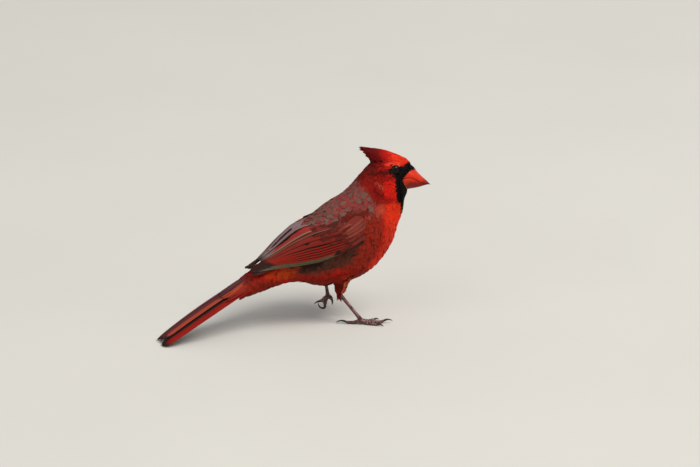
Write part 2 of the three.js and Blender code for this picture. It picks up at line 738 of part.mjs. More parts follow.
function makeLeg(name) {
  const leg = LEGS[name];
  const foot = bareFoot(leg);
  const middle = leg.heel.map((value, i) => (value + leg.toeBase[i]) / 2);
  const shankRadii = [KNOB_RADIUS, TARSUS_RADIUS, TARSUS_RADIUS, KNOB_RADIUS];
  const shankHeading = headingFrom(leg.heel, leg.toeBase);
  const shank = without(
    taperedTube([leg.heel, middle, leg.toeBase], shankRadii, SHANK_SIDES, shankHeading),
    grown(foot, GAP),
  );
  const thigh = without(
    taperedTube(leg.thigh, leg.thighRadii, THIGH_SIDES, shankHeading),
    bent(bodyWithGap),
    grown(shank, GAP),
  );
  const claws = Object.entries(leg.toes).map(([toeName, toe]) => {
    const toeEnd = toePoints(leg.toeBase, toe).at(-1);
    return [toeName, without(clawShape(toeEnd, toe), floor)];
  });
  return { foot, shank, thigh, claws };
}

// Putting the bird together.

const bird = new THREE.Group();

function add(name, geometry, finish) {
  const material = new THREE.MeshStandardMaterial({ ...FINISHES[finish], metalness: 0 });
  const mesh = new THREE.Mesh(geometry, material);
  mesh.name = name;
  bird.add(mesh);
}

add('head', bent(head), 'head');
add('crest', bent(crest), 'crest');
add('neck', bent(neck), 'neck');
add('trunk', bent(trunk), 'trunk');
add('tail_coverts', bent(coverts), 'trunk');
add('tail', tail, 'tail');
add('bill_upper', bent(billUpper), 'bill');
add('bill_lower', bent(billLower), 'lowerBill');
for (const [name, side] of Object.entries(SIDES)) {
  add(`eye_${name}`, bent(eyeball(side)), 'eye');
  for (const [part, geometry] of Object.entries(rightWing)) {
    add(`wing_${name}_${part}`, bent(side === SIDES.right ? geometry : mirroredLeft(geometry)), part);
  }
  const leg = makeLeg(name);
  add(`thigh_${name}`, leg.thigh, 'thigh');
  add(`tarsus_${name}`, leg.shank, 'leg');
  add(`foot_${name}`, leg.foot, 'leg');
  for (const [toeName, geometry] of leg.claws) {
    add(`claw_${name}_${toeName}`, geometry, 'claw');
  }
}

// The origin is under the middle of the bird, on the ground.
const extent = new THREE.Box3().setFromObject(bird);
const centre = extent.getCenter(new THREE.Vector3());
bird.position.set(-centre.x, -centre.y, -extent.min.z);

export default bird;
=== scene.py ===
# %% [markdown]
# A male northern cardinal, life size, as a still museum model.
# The solids that were packed give its outline out to the feather tips. This script dresses them:
# a skin lies a coat's depth inside them, thousands of small feathers grow from that skin, and
# the long feathers of wings and tail, the bill, the eyes and the feet are pieces of their own.
# The cells below make them one after the other, in the order a model maker would.

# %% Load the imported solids
import math

import bmesh
import bpy
import numpy as np
from mathutils import Matrix, Vector
from mathutils.bvhtree import BVHTree
from mathutils.kdtree import KDTree


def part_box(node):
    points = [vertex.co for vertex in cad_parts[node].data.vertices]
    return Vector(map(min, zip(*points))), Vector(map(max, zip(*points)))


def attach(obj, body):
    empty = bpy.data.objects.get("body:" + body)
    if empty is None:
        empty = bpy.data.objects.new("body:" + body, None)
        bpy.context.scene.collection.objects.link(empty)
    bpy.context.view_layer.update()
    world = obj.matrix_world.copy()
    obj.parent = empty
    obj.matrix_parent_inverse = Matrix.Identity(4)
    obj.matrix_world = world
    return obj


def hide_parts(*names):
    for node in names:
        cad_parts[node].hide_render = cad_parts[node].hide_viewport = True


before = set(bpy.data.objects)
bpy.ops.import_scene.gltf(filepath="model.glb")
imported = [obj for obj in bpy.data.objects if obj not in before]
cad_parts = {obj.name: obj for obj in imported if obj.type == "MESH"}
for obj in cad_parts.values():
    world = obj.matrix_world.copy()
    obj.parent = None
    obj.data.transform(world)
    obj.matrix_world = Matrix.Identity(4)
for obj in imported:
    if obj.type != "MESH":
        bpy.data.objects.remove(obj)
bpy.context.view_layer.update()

MM = 0.001

# %% [markdown]
# The camera comes first, so that every later test can be held against the photograph. It looks
# down from 20 degrees above the level, through a long lens: birds are photographed from afar,
# which flattens the perspective. The aim and the width of the view were measured from the bill,
# wing and tail.

# %% Camera
VIEW_AIM = Vector((38.33, 15.36, 63.3)) * MM
VIEW_ELEVATION = math.radians(20)
VIEW_DISTANCE = 3.0
VIEW_WIDTH = 0.4828


def add_object(name, data):
    thing = bpy.data.objects.new(name, data)
    bpy.context.scene.collection.objects.link(thing)
    return thing


view_data = bpy.data.cameras.new("camera")
camera = add_object("camera", view_data)
bpy.context.scene.camera = camera
towards_camera = Vector((0, -math.cos(VIEW_ELEVATION), math.sin(VIEW_ELEVATION)))
camera.location = VIEW_AIM + towards_camera * VIEW_DISTANCE
camera.rotation_mode = "QUATERNION"
camera.rotation_quaternion = (-towards_camera).to_track_quat("-Z", "Y")
view_data.lens = view_data.sensor_width * VIEW_DISTANCE / VIEW_WIDTH
print("lens, mm:", round(view_data.lens))

# %% [markdown]
# Shader nodes are easier to read as sums. This small class wraps a socket, so that an
# expression such as 1 - mask adds the Math node by itself, and one method adds any other node.

# %% Shader expressions
class Value:
    """A socket that can be used in sums. Each operator adds one Math node."""

    def __init__(self, tree, socket):
        self.tree = tree
        self.socket = socket

    def math(self, operation, *others):
        values = [other.socket if isinstance(other, Value) else other for other in others]
        return self.tree.node("ShaderNodeMath", {"operation": operation}, self.socket, *values)

    def __add__(self, other):
        return self.math("ADD", other)

    def __mul__(self, other):
        return self.math("MULTIPLY", other)

    def __sub__(self, other):
        return self.math("SUBTRACT", other)

    def __rsub__(self, other):
        return self.math("MULTIPLY", -1.0).math("ADD", other)

    def __pow__(self, other):
        return self.math("POWER", other)

    __radd__ = __add__
    __rmul__ = __mul__

    def ramp(self, low, high):
        """0 below low, 1 above high, and a smooth rise between."""
        settings = {"interpolation_type": "SMOOTHSTEP"}
        return self.tree.node("ShaderNodeMapRange", settings, self.socket, low, high)


class Tree:
    """The nodes of one material."""

    def __init__(self, name):
        self.material = bpy.data.materials.new(name)
        self.material.use_nodes = True
        self.nodes = self.material.node_tree.nodes
        self.links = self.material.node_tree.links
        self.shader = self.nodes["Principled BSDF"]

    def node(self, kind, settings=None, *inputs, output=0, **named):
        """Adds a node, sets it up, fills its sockets with numbers or links, and gives one output."""
        node = self.nodes.new(kind)
        for key, value in (settings or {}).items():
            setattr(node, key, value)
        for key, value in [*enumerate(inputs), *named.items()]:
            self.fill(node.inputs[key], value)
        return Value(self, node.outputs[output])

    def fill(self, socket, value):
        if isinstance(value, Value):
            value = value.socket
        if isinstance(value, bpy.types.NodeSocket):
            self.links.new(value, socket)
        else:
            socket.default_value = value

    def attribute(self, name, output="Color"):
        return self.node("ShaderNodeAttribute", {"attribute_name": name}, output=output)

    def mix(self, first, second, factor, kind="MIX"):
        """A colour between two others. The colours may be sockets or plain values."""
        node = self.nodes.new("ShaderNodeMix")
        node.data_type = "RGBA"
        node.blend_type = kind
        for index, value in ((0, factor), (6, first), (7, second)):
            if isinstance(value, tuple):
                value = (*value, 1.0)
            self.fill(node.inputs[index], value)
        return Value(self, node.outputs[2])

    def times(self, color, light):
        """A colour multiplied by a number."""
        grey = self.node("ShaderNodeCombineColor", None, light, light, light)
        return self.mix(color, grey, 1.0, "MULTIPLY")

    def noise(self, scale, detail):
        """A cloudy pattern that lies in the piece's own coordinates."""
        place = self.node("ShaderNodeTexCoord", output="Object")
        return self.node("ShaderNodeTexNoise", None, Vector=place, Scale=scale, Detail=detail)

    def shade(self, **sockets):
        """Sets the surface shader's sockets, named with _ for a blank."""
        for key, value in sockets.items():
            self.fill(self.shader.inputs[key.replace("_", " ")], value)
        return self.material

    def bump(self, height, distance, strength=1.0):
        """A normal tilted by the slope of a height, which counts in distance."""
        return self.node("ShaderNodeBump", None, Height=height, Distance=distance, Strength=strength)


def seen(red, green, blue):
    """A colour given as it is seen, 0 to 255, in the linear numbers that shaders use."""
    parts = np.array([red, green, blue]) / 255
    linear = np.where(parts <= 0.04045, parts / 12.92, ((parts + 0.055) / 1.055) ** 2.4)
    return tuple(float(part) for part in linear)


print("a grey seen as 200 is", round(seen(200, 200, 200)[0], 3), "in linear numbers")

# %% [markdown]
# The floor is one pale matt sheet, so wide that it fills the view, and the light is that of a
# soft studio: a broad key light high on the bill's side, a weaker one opposite, and a pale sky.

# %% Floor and lights
FLOOR_SIZE = 12.0
LIGHT_DISTANCE = 5.0
SKY_COLOR, SKY_STRENGTH = (0.95, 0.97, 1.0, 1.0), 0.49


def make_floor():
    bm = bmesh.new()
    bmesh.ops.create_grid(bm, x_segments=8, y_segments=8, size=FLOOR_SIZE / 2)
    mesh = bpy.data.meshes.new("floor")
    bm.to_mesh(mesh)
    bm.free()
    floor = add_object("floor", mesh)
    tree = Tree("pale_floor")
    tone = tree.mix(seen(204, 201, 193), seen(196, 193, 185), tree.noise(5.0, 4.0))
    mesh.materials.append(tree.shade(Base_Color=tone, Roughness=0.9))


def add_light(name, azimuth, elevation, size, watts, color):
    """An area light that shines at the bird. Azimuth 0 is the camera's side, 90 the bill's."""
    data = bpy.data.lights.new(name, "AREA")
    data.size = size
    data.energy = watts
    data.color = color
    light = add_object(name, data)
    across, up = math.radians(azimuth), math.radians(elevation)
    away = Vector((math.sin(across) * math.cos(up), -math.cos(across) * math.cos(up), math.sin(up)))
    light.location = VIEW_AIM + away * LIGHT_DISTANCE
    light.rotation_mode = "QUATERNION"
    light.rotation_quaternion = away.to_track_quat("Z", "Y")


make_floor()
add_light("key_light", azimuth=62, elevation=56, size=2.4, watts=230, color=(1.0, 0.98, 0.95))
add_light("fill_light", azimuth=-45, elevation=40, size=4.0, watts=50, color=(0.95, 0.97, 1.0))

sky = bpy.data.worlds.new("studio")
bpy.context.scene.world = sky
sky.use_nodes = True
background = sky.node_tree.nodes["Background"]
background.inputs["Color"].default_value = SKY_COLOR
background.inputs["Strength"].default_value = SKY_STRENGTH
bpy.context.scene.view_settings.view_transform = "Standard"

# %% [markdown]
# The bird turns its tail to one side, so its middle is a curve in plan. Feathers are easier to
# lay on a straight bird, whose left side mirrors its right. Each point of the real bird
# therefore has straight coordinates: its station along the middle line, its distance to the
# side and its height, all in millimetres. Two functions change one into the other.

# %% The bend in plan
YAW_OF_TAIL, YAW_OF_TRUNK, YAW_OF_HEAD = 24.0, 14.0, 0.0
TRUNK_TURNS_TO_TAIL = (-31.0, -54.0)
NECK_TURNS_TO_HEAD = (8.0, 35.0)
EYE_STATION = 34.6
LINE_ENDS = (-150.0, 80.0)
STATION_STEP = 0.5
SETTLING_ROUNDS = 25


def smooth_step(x, low, high):
    t = np.clip((x - low) / (high - low), 0.0, 1.0)
    return t * t * (3 - 2 * t)


def blend(first, second, share):
    return first + (second - first) * share


def heading_at(station):
    to_tail = smooth_step(-station, -TRUNK_TURNS_TO_TAIL[0], -TRUNK_TURNS_TO_TAIL[1])
    to_head = smooth_step(station, *NECK_TURNS_TO_HEAD)
    yaw = blend(blend(YAW_OF_TRUNK, YAW_OF_TAIL, to_tail), YAW_OF_HEAD, to_head)
    return np.radians(yaw)


line_stations = np.arange(*LINE_ENDS, STATION_STEP)
line_steps = STATION_STEP * np.stack([
    np.cos(heading_at(line_stations + STATION_STEP / 2)),
    np.sin(heading_at(line_stations + STATION_STEP / 2)),
], axis=1)
middle_line = np.concatenate([np.zeros((1, 2)), np.cumsum(line_steps, axis=0)[:-1]])


def middle_at(station):
    return np.stack([np.interp(station, line_stations, middle_line[:, i]) for i in (0, 1)], axis=-1)


# Both eyes lie at one station, so the point between them shows where the line lies.
eye_corners = np.array([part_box(f"eye_{side}") for side in ("right", "left")]) / MM
between_eyes = eye_corners.mean(axis=(0, 1))
middle_line += between_eyes[:2] - middle_at(EYE_STATION)


def straighten(points):
    """Straight coordinates, in millimetres, of points on the real bird, in metres."""
    plan = points[:, :2] / MM
    station = plan[:, 0] - middle_at(0.0)[0]
    for _ in range(SETTLING_ROUNDS):
        heading = heading_at(station)
        along = np.stack([np.cos(heading), np.sin(heading)], axis=1)
        station = station + ((plan - middle_at(station)) * along).sum(axis=1)
    offset = plan - middle_at(station)
    side = offset[:, 1] * np.cos(heading) - offset[:, 0] * np.sin(heading)
    return np.stack([station, side, points[:, 2] / MM], axis=1)


def bend(points):
    """Places on the real bird, in metres, of points given in straight coordinates."""
    heading = heading_at(points[:, 0])
    middle = middle_at(points[:, 0])
    return MM * np.stack([
        middle[:, 0] - points[:, 1] * np.sin(heading),
        middle[:, 1] + points[:, 1] * np.cos(heading),
        points[:, 2],
    ], axis=1)


def points_of(mesh, what="co"):
    """The place, or another vector, of each point of a mesh, as rows of an array."""
    values = np.empty(len(mesh.vertices) * 3)
    mesh.vertices.foreach_get(what, values)
    return values.reshape(-1, 3)


trunk_points = points_of(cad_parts["trunk"].data)
there_and_back = np.abs(bend(straighten(trunk_points)) - trunk_points).max()
print("straightening and bending again moves a point by", round(there_and_back / MM, 4), "mm")

# %% [markdown]
# One skin stands for all the flesh and for the bed that the wing feathers lie on. The packed
# solids keep a thin gap between each other, so their copies are swollen a little, joined, and
# remeshed as one closed surface. Smoothing takes away the facets, and makes a slope where the
# wings' front edge stood out like a step, because breast feathers ride up over it. At the end
# the surface shrinks by the depth of the coat.

# %% Gather the flesh
SAME_POINT = 0.001
SWELL = 0.25
VOXEL = 0.62
CREST_CORE_END = 17.0
FLESH = ["head", "neck", "trunk", "tail_coverts", "thigh_right", "thigh_left"]
WING_PARTS = ["coverts", "secondaries", "primaries"]
SIDES = {"right": -1, "left": 1}


def straight_copy(name):
    """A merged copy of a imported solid, in straight coordinates."""
    bm = bmesh.new()
    bm.from_mesh(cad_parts[name].data)
    bmesh.ops.remove_doubles(bm, verts=bm.verts, dist=SAME_POINT * MM)
    points = straighten(np.array([v.co for v in bm.verts]))
    for vert, point in zip(bm.verts, points):
        vert.co = point
    bm.normal_update()
    return bm


def swollen(bm, distance):
    moves = [vert.normal * distance for vert in bm.verts]
    for vert, move in zip(bm.verts, moves):
        vert.co += move
    return bm


def gathered(parts):
    """One bmesh that holds several, which are used up."""
    whole = bmesh.new()
    scratch = bpy.data.meshes.new("scratch")
    for bm in parts:
        bm.to_mesh(scratch)
        whole.from_mesh(scratch)
        bm.free()
    bpy.data.meshes.remove(scratch)
    return whole


def remeshed(name, parts, voxel):
    """An object whose mesh is one closed surface round several shapes."""
    thing = add_object(name, bpy.data.meshes.new(name))
    whole = gathered(parts)
    whole.to_mesh(thing.data)
    whole.free()
    remesh = thing.modifiers.new("join", "REMESH")
    remesh.mode, remesh.voxel_size = "VOXEL", voxel
    joined = thing.evaluated_get(bpy.context.evaluated_depsgraph_get())
    mesh = bpy.data.meshes.new_from_object(joined)
    thing.modifiers.clear()
    thing.data = mesh
    return thing


def crest_core():
    """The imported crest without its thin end, which is made of feather tips alone."""
    bm = straight_copy("crest")
    for vert in bm.verts:
        vert.co.x = max(vert.co.x, CREST_CORE_END)
    return swollen(bm, SWELL)


wing_nodes = [f"wing_{side}_{part}" for side in SIDES for part in WING_PARTS]
eye_nodes = [f"eye_{side}" for side in SIDES]
shapes = [swollen(straight_copy(name), SWELL) for name in FLESH + wing_nodes + eye_nodes]
shapes.append(crest_core())
skin = remeshed("skin", shapes, VOXEL)
print("joined flesh:", len(skin.data.vertices), "points")

# %% Smooth the skin
SMOOTHING = 0.5
ROUNDS_EVERYWHERE = 5
ROUNDS_AT_WING_EDGE = 60
ROUNDS_AFTER_SHRINKING = 2
WING_EDGE = [(17.0, 84.0), (12.0, 80.0), (7.5, 72.0), (6.0, 64.0), (2.0, 58.0)]
SCAPULAR_EDGE = [(17.0, 82.0), (0.0, 77.5), (-14.0, 75.0), (-27.0, 72.5)]
EDGE_REACH = 6.5
EDGE_FROM_MIDDLE = 4.0


def distance_to_line(station, height, line):
    """How far each point is from a broken line, both seen from the side."""
    nearest = np.full(np.shape(station), np.inf)
    for (s0, z0), (s1, z1) in zip(line, line[1:]):
        length = math.hypot(s1 - s0, z1 - z0)
        along = ((station - s0) * (s1 - s0) + (height - z0) * (z1 - z0)) / length**2
        along = np.clip(along, 0.0, 1.0)
        away = np.hypot(station - s0 - along * (s1 - s0), height - z0 - along * (z1 - z0))
        nearest = np.minimum(nearest, away)
    return nearest


def smooth_points(mesh, points, weights, rounds):
    """Draws each point towards the mean of its neighbours, in proportion to its weight."""
    edges = np.empty(len(mesh.edges) * 2, dtype=np.int64)
    mesh.edges.foreach_get("vertices", edges)
    first, second = edges.reshape(-1, 2).T
    count = len(points)
    degree = np.bincount(first, minlength=count) + np.bincount(second, minlength=count)
    for _ in range(rounds):
        for axis in range(3):
            values = points[:, axis]
            total = np.bincount(first, values[second], count) + np.bincount(second, values[first], count)
            points[:, axis] = values + weights * (total / degree - values)
    return points


skin_points = points_of(skin.data)
skin_points = smooth_points(skin.data, skin_points, SMOOTHING, ROUNDS_EVERYWHERE)
station, side, height = skin_points.T
to_edge = distance_to_line(station, height, WING_EDGE + SCAPULAR_EDGE[1:])
on_outside = np.abs(side) > EDGE_FROM_MIDDLE
at_edge = (1 - smooth_step(to_edge, EDGE_REACH / 2, EDGE_REACH)) * on_outside
skin_points = smooth_points(skin.data, skin_points, SMOOTHING * at_edge, ROUNDS_AT_WING_EDGE)
print("points smoothed at the wings' edge:", int((at_edge > 0).sum()))

# %% [markdown]
# The coat is thin on the face and deep on the belly. The eyes bulge in the remeshed surface.
# Within the opening of the lids the skin is drawn in behind the eyeball, and around it the
# skin stays just outside, as a lid does.

# %% Shrink the skin and open the eyes
EYE_RADIUS = 4.1
EYE_CENTRE = np.array([34.6, 5.7, 110.5])
EYE_AXIS = np.array([0.10, 0.985, 0.03])
LID_OPENING = math.radians(45)
LID_REACH = math.radians(74)
LID_THICKNESS = 0.3
BEHIND_THE_EYE, ROUND_THE_EYE = 3.3, 2.0
EYE_AXIS = EYE_AXIS / np.linalg.norm(EYE_AXIS)
FACE_CENTRE = np.array([46.0, 0.0, 103.0])
FACE_DEPTH, HEAD_DEPTH, FACE_TO_HEAD = 0.6, 1.1, (8.0, 26.0)
DEPTH_UNDER_WING = 1.75
COAT_DEPTHS = [
    # depth, then the weights of station and height in a sum, where it starts and where it is full
    (0.65, 0.2, 1.0, 116.0, 119.0),
    (1.9, -0.4, -1.0, -96.0, -74.0),
    (1.1, -1.0, 0.0, 50.0, 74.0),
    (2.4, -1.0, 0.0, 71.0, 79.0),
]
LEG_DEPTHS = [(0.9, 30.0, 24.0), (2.1, 27.0, 23.0)]
LEGS_FROM = -30.0
WING_TOP = ([-70.0, -36.0, -27.0, -9.0, 0.0, 16.0], [90.0, 90.0, 76.0, 78.6, 80.0, 82.0])
WING_BOTTOM = ([-71.0, -53.7, -21.3, -1.0, 6.0, 13.0], [42.0, 44.5, 52.5, 57.5, 65.0, 79.0])
WING_REAR, WING_FRONT, WING_FADE = -72.0, 9.0, 2.5


def coat_depth(points):
    """How deep the feathers are, in millimetres, by where they grow."""
    station, height = points[:, 0], points[:, 2]
    to_bill = np.linalg.norm(points - FACE_CENTRE, axis=1)
    depth = blend(FACE_DEPTH, HEAD_DEPTH, smooth_step(to_bill, *FACE_TO_HEAD))
    for local, per_station, per_height, start, full in COAT_DEPTHS:
        here = smooth_step(per_station * station + per_height * height, start, full)
        depth = blend(depth, local, here)
    for local, top, full in LEG_DEPTHS:
        depth = blend(depth, local, smooth_step(-height, -top, -full) * (station > LEGS_FROM))
    return depth


def on_wing(points):
    """1 where the folded wing covers the body, and 0 elsewhere."""
    station, height = points[:, 0], points[:, 2]
    inside = np.minimum(np.interp(station, *WING_TOP) - height, height - np.interp(station, *WING_BOTTOM))
    inside = np.minimum(inside, np.minimum(WING_FRONT - station, station - WING_REAR))
    return smooth_step(inside, 0.0, WING_FADE)


def mirrored(vectors, sign):
    return vectors * np.array([1.0, sign, 1.0])


def open_eyes(points):
    """Draws the skin in behind the eyeballs, and sets a lid's thickness over them."""
    for sign in SIDES.values():
        centre, axis = mirrored(EYE_CENTRE, sign), mirrored(EYE_AXIS, sign)
        outwards = points - centre
        distance = np.linalg.norm(outwards, axis=1)
        angle = np.arccos(np.clip(outwards @ axis / distance, -1.0, 1.0))
        lid = EYE_RADIUS + LID_THICKNESS
        in_opening = (angle < LID_OPENING) & (distance < EYE_RADIUS + ROUND_THE_EYE)
        under_lid = (angle >= LID_OPENING) & (angle < LID_REACH) & (distance < lid)
        wanted = np.where(in_opening, BEHIND_THE_EYE, np.where(under_lid, lid, distance))
        points = centre + outwards * (wanted / distance)[:, None]
    return points


def write_points(mesh, points):
    mesh.vertices.foreach_set("co", points.ravel())
    mesh.update()


def normals_of(mesh):
    return points_of(mesh, "normal")


write_points(skin.data, skin_points)
depth = blend(coat_depth(skin_points), DEPTH_UNDER_WING, on_wing(skin_points))
skin_points = skin_points - normals_of(skin.data) * depth[:, None]
skin_points = smooth_points(skin.data, skin_points, SMOOTHING, ROUNDS_AFTER_SHRINKING)
skin_points = open_eyes(skin_points)
write_points(skin.data, skin_points)
skin_normals = normals_of(skin.data)
print("coat depth, mm:", depth.min().round(2), "to", depth.max().round(2))

# %% [markdown]
# A cardinal is not one red. The mask is black, the crown and breast glow, the mantle has grey
# edges to its crimson feathers, and the flank is washed with grey. Each marking is a patch with
# an outline as seen from the side, in straight coordinates, so both sides match. A patch has
# two colours, that of a feather's middle and that of its fringe. Skin and feathers ask the same
# function, so the skin is red under red feathers and black under the mask.

# %% Markings
GROUND = (seen(168, 22, 12), seen(176, 32, 18))


def patch(outline, softness, middle, fringe, rarity=0.0, plain=0.0):
    """One marking. Softness is the width of its blurred edge, in millimetres.

    Rarity is the share of feathers without the fringe, and plain that of feathers all in it.
    """
    return dict(outline=outline, softness=softness, middle=seen(*middle), fringe=seen(*fringe),
                rarity=rarity, plain=plain)


PATCHES = {
    "side_of_head": patch(
        [(37, 110), (16, 110), (4, 100), (12, 88), (27, 83), (41, 82), (37, 95)],
        5.0, (146, 16, 9), (156, 24, 14)),
    "nape": patch(
        [(22, 113), (16, 121), (-2, 108), (-6, 95), (4, 90), (12, 94), (17, 100)],
        5.0, (100, 18, 10), (108, 30, 20)),
    "neck_side": patch(
        [(20, 102), (24, 93), (27, 87), (27, 83), (19, 88), (12, 94), (9, 101), (14, 107)],
        4.0, (130, 17, 9), (138, 28, 17)),
    "crown": patch(
        [(47, 110), (40, 113.5), (31, 114), (26, 113), (22, 118), (24, 128), (50, 130)],
        5.0, (172, 18, 8), (182, 26, 12)),
    "forehead": patch(
        [(47, 110), (41, 113.5), (34, 114), (31, 117), (31, 121), (50, 122)],
        4.0, (208, 38, 16), (218, 56, 26)),
    "crest_rear": patch(
        [(26, 112.5), (24.5, 132), (0, 132), (0, 117), (14, 112)],
        9.0, (92, 6, 5), (100, 10, 8)),
    "crest_ridge": patch(
        [(46, 115.4), (40, 119.2), (32, 122.2), (22, 124), (4, 125), (4, 132), (46, 132)],
        1.4, (96, 10, 6), (104, 12, 8)),
    "brow": patch(
        [(38, 115), (31, 115.6), (28, 114.2), (32, 113.4), (38, 113.2)],
        1.6, (222, 58, 34), (230, 78, 50)),
    "eye_line": patch(
        [(32, 111), (24, 109.8), (16, 108), (16, 106.6), (24, 107.4), (32, 108)],
        1.8, (84, 10, 7), (92, 14, 9)),
    "cheek": patch(
        [(36.5, 104), (30, 103.8), (26.5, 102.2), (25.8, 97), (27.5, 92.5), (36.5, 90), (37.5, 97)],
        2.2, (208, 28, 15), (214, 36, 20)),
    "under_ear": patch(
        [(26, 93.2), (22, 96.2), (17.5, 99.8), (16.8, 98.4), (21, 94), (25.6, 91.6)],
        1.4, (104, 13, 8), (112, 18, 12)),
    "ear": patch(
        [(26.5, 96.5), (23, 99), (19.5, 102.4), (22.5, 102.6), (26.5, 99.5)],
        1.6, (160, 50, 34), (182, 100, 72), rarity=0.4),
    "breast_side": patch(
        [(19, 83), (24, 80), (25, 66), (21, 54), (12, 43), (-6, 41), (-10, 56), (-2, 58), (0, 66),
         (3, 76), (12, 81)],
        5.0, (140, 34, 20), (124, 48, 32), rarity=0.3),
    "breast": patch(
        [(42, 84), (34, 88), (27, 86.5), (26.5, 78), (27, 68), (24, 57), (18, 48), (12, 42), (20, 34),
         (48, 45), (52, 84)],
        5.5, (200, 42, 20), (208, 60, 32)),
    "breast_front": patch(
        [(42, 84), (34, 88), (28, 86), (29, 78), (33, 70), (34, 58), (46, 50), (52, 84)],
        4.0, (222, 44, 16), (228, 60, 26)),
    # A pale painted highlight on the shoulder, where light falls.
    "shoulder_highlight": patch(
        [(26, 88), (22, 87.5), (19.5, 85), (20.5, 80), (24, 79), (27.5, 83)],
        4.5, (186, 60, 40), (194, 90, 66)),
    "belly": patch(
        [(10, 42), (-8, 39), (-24, 38), (-42, 39), (-36, 20), (0, 18), (20, 32)],
        4.0, (126, 22, 8), (138, 34, 15)),
    "flank": patch(
        [(4, 56), (0, 70), (-40, 66), (-52, 46), (-42, 41), (-26, 39.5), (-10, 43), (0, 49)],
        6.0, (84, 40, 28), (78, 56, 43), rarity=0.2, plain=0.05),
    # Painted shadow on the flank, below the folded wing's lower edge.
    "shadow_under_wing": patch(
        [(-20, 55), (-20, 47), (-32, 43.5), (-40, 43), (-46, 46), (-40, 52)],
        4.0, (40, 22, 14), (50, 34, 24)),
    "vent": patch(
        [(-37, 45.5), (-39, 41), (-48, 37), (-59, 39), (-61, 42.5), (-50, 45.5)],
        5.0, (170, 52, 12), (180, 68, 22)),
    "undertail": patch(
        [(-46, 34), (-58, 37), (-64, 40.5), (-84, 37), (-84, 20), (-56, 22), (-44, 28)],
        4.0, (124, 26, 11), (136, 36, 18)),
    "mantle": patch(
        [(3, 108), (9, 99.5), (14, 94), (18.5, 88), (19.5, 82), (9, 80), (0, 77.5), (-17, 74), (-27, 71),
         (-36, 69), (-62, 50), (-84, 40), (-84, 70), (-20, 108)],
        5.0, (132, 54, 50), (110, 78, 69), rarity=0.2, plain=0.35),
    # A dark band of painted shade, where the mantle overhangs the folded wing.
    "shade_above_wing": patch(
        [(-8, 79.6), (-4, 81.6), (3, 84.2), (12.5, 84.4), (16.5, 82), (5.4, 78.6), (-3, 77.5)],
        2.5, (96, 20, 11), (104, 30, 18)),
    "rump": patch(
        [(-50, 60), (-50, 50), (-60, 45.5), (-68, 42), (-80, 32), (-96, 22), (-96, 40), (-70, 60)],
        2.5, (84, 34, 38), (96, 56, 54)),
    "wing_tips": patch(
        [(-50, 60), (-50, 51.5), (-58, 48), (-66, 44.4), (-74, 41), (-74, 52)],
        1.0, (38, 29, 24), (44, 36, 30)),
    "thigh": patch(
        [(20, 31), (-30, 30), (-30, 10), (20, 10)],
        3.0, (92, 11, 6), (108, 20, 11)),
    "thigh_front": patch(
        [(-3.6, 33), (4, 33), (4, 18), (-5.0, 18)],
        1.6, (164, 62, 34), (206, 120, 78), rarity=0.3),
    "eye_ring": patch(
        [(38.6, 110.6), (36.8, 113.0), (34, 113.2), (31.4, 112.2), (29.4, 110.2), (31.4, 107.9),
         (34, 106.8), (36.8, 107.4)],
        0.5, (9, 6, 6), (12, 8, 8)),
    "mask": patch(
        [(47, 118), (43.6, 114.6), (40.8, 112.6), (38, 113), (35.5, 114), (32.6, 110), (33.6, 107.6),
         (34.9, 105.2), (35.3, 101), (35.5, 97), (36, 92.5), (37, 88), (38.6, 84), (39.8, 79.5), (46, 78),
         (60, 95), (60, 118)],
        0.5, (8, 6, 6), (11, 8, 8)),
}


def inside_outline(station, height, outline):
    """Distance from the outline, counted positive inside it."""
    corners = outline + outline[:1]
    inside = np.zeros(np.shape(station), dtype=bool)
    for (s0, z0), (s1, z1) in zip(corners, corners[1:]):
        if z0 != z1:
            crossing = s0 + (height - z0) / (z1 - z0) * (s1 - s0)
            inside ^= ((z0 > height) != (z1 > height)) & (station < crossing)
    away = distance_to_line(station, height, corners)
    return np.where(inside, away, -away)


def plumage(points, luck):
    """Middle and fringe colours of feathers rooted at some points. Luck, 0 to 1, varies them."""
    station, height = points[:, 0], points[:, 2]
    middle = np.tile(GROUND[0], (len(points), 1))
    fringe = np.tile(GROUND[1], (len(points), 1))
    for marking in PATCHES.values():
        half = marking["softness"] / 2
        inside = inside_outline(station, height, marking["outline"])
        share = smooth_step(inside, -half, half)[:, None]
        has_middle = luck[:, None] < 1 - marking["plain"]
        has_fringe = luck[:, None] > marking["rarity"]
        middle = blend(middle, np.where(has_middle, marking["middle"], marking["fringe"]), share)
        fringe = blend(fringe, np.where(has_fringe, marking["fringe"], marking["middle"]), share)
    return middle, fringe


middles, _ = plumage(skin_points, np.full(len(skin_points), 0.5))
print("share of the skin that is black:", (middles.max(axis=1) < 0.02).mean().round(3))

# %% [markdown]
# The skin's own map unrolls it round a line through the middle of the body: one axis is the
# station and the other the angle round that line. Every small feather has a tiny patch of that
# same map, at its root. Colours can be baked on this map. The long feathers lie on maps of
# their own, in strips.

# %% Unrolled map of the skin
BODY_LINE = [(-90, 28), (-60, 38), (-40, 47), (-20, 55), (0, 64), (12, 76), (22, 88), (30, 100), (60, 105)]
MAP_STATIONS = (-85.0, 50.0)
BAKE_MAP = "OFBake"
PATCH_SIZE = 0.003
MAP_MARGIN = 0.01
BODY_MAP_WIDTH = 0.82
LEG_MAP_START, LEG_MAP_WIDTH, LEG_MAP_TURN = 0.84, 0.14, 0.03
LEG_HEIGHT, LEG_DEPTH_MAPPED = 27.0, 10.0
LEG_STATION, LEG_SIDE = -8.0, 11.0


def body_line_height(station):
    return np.interp(station, *np.array(BODY_LINE, dtype=float).T)


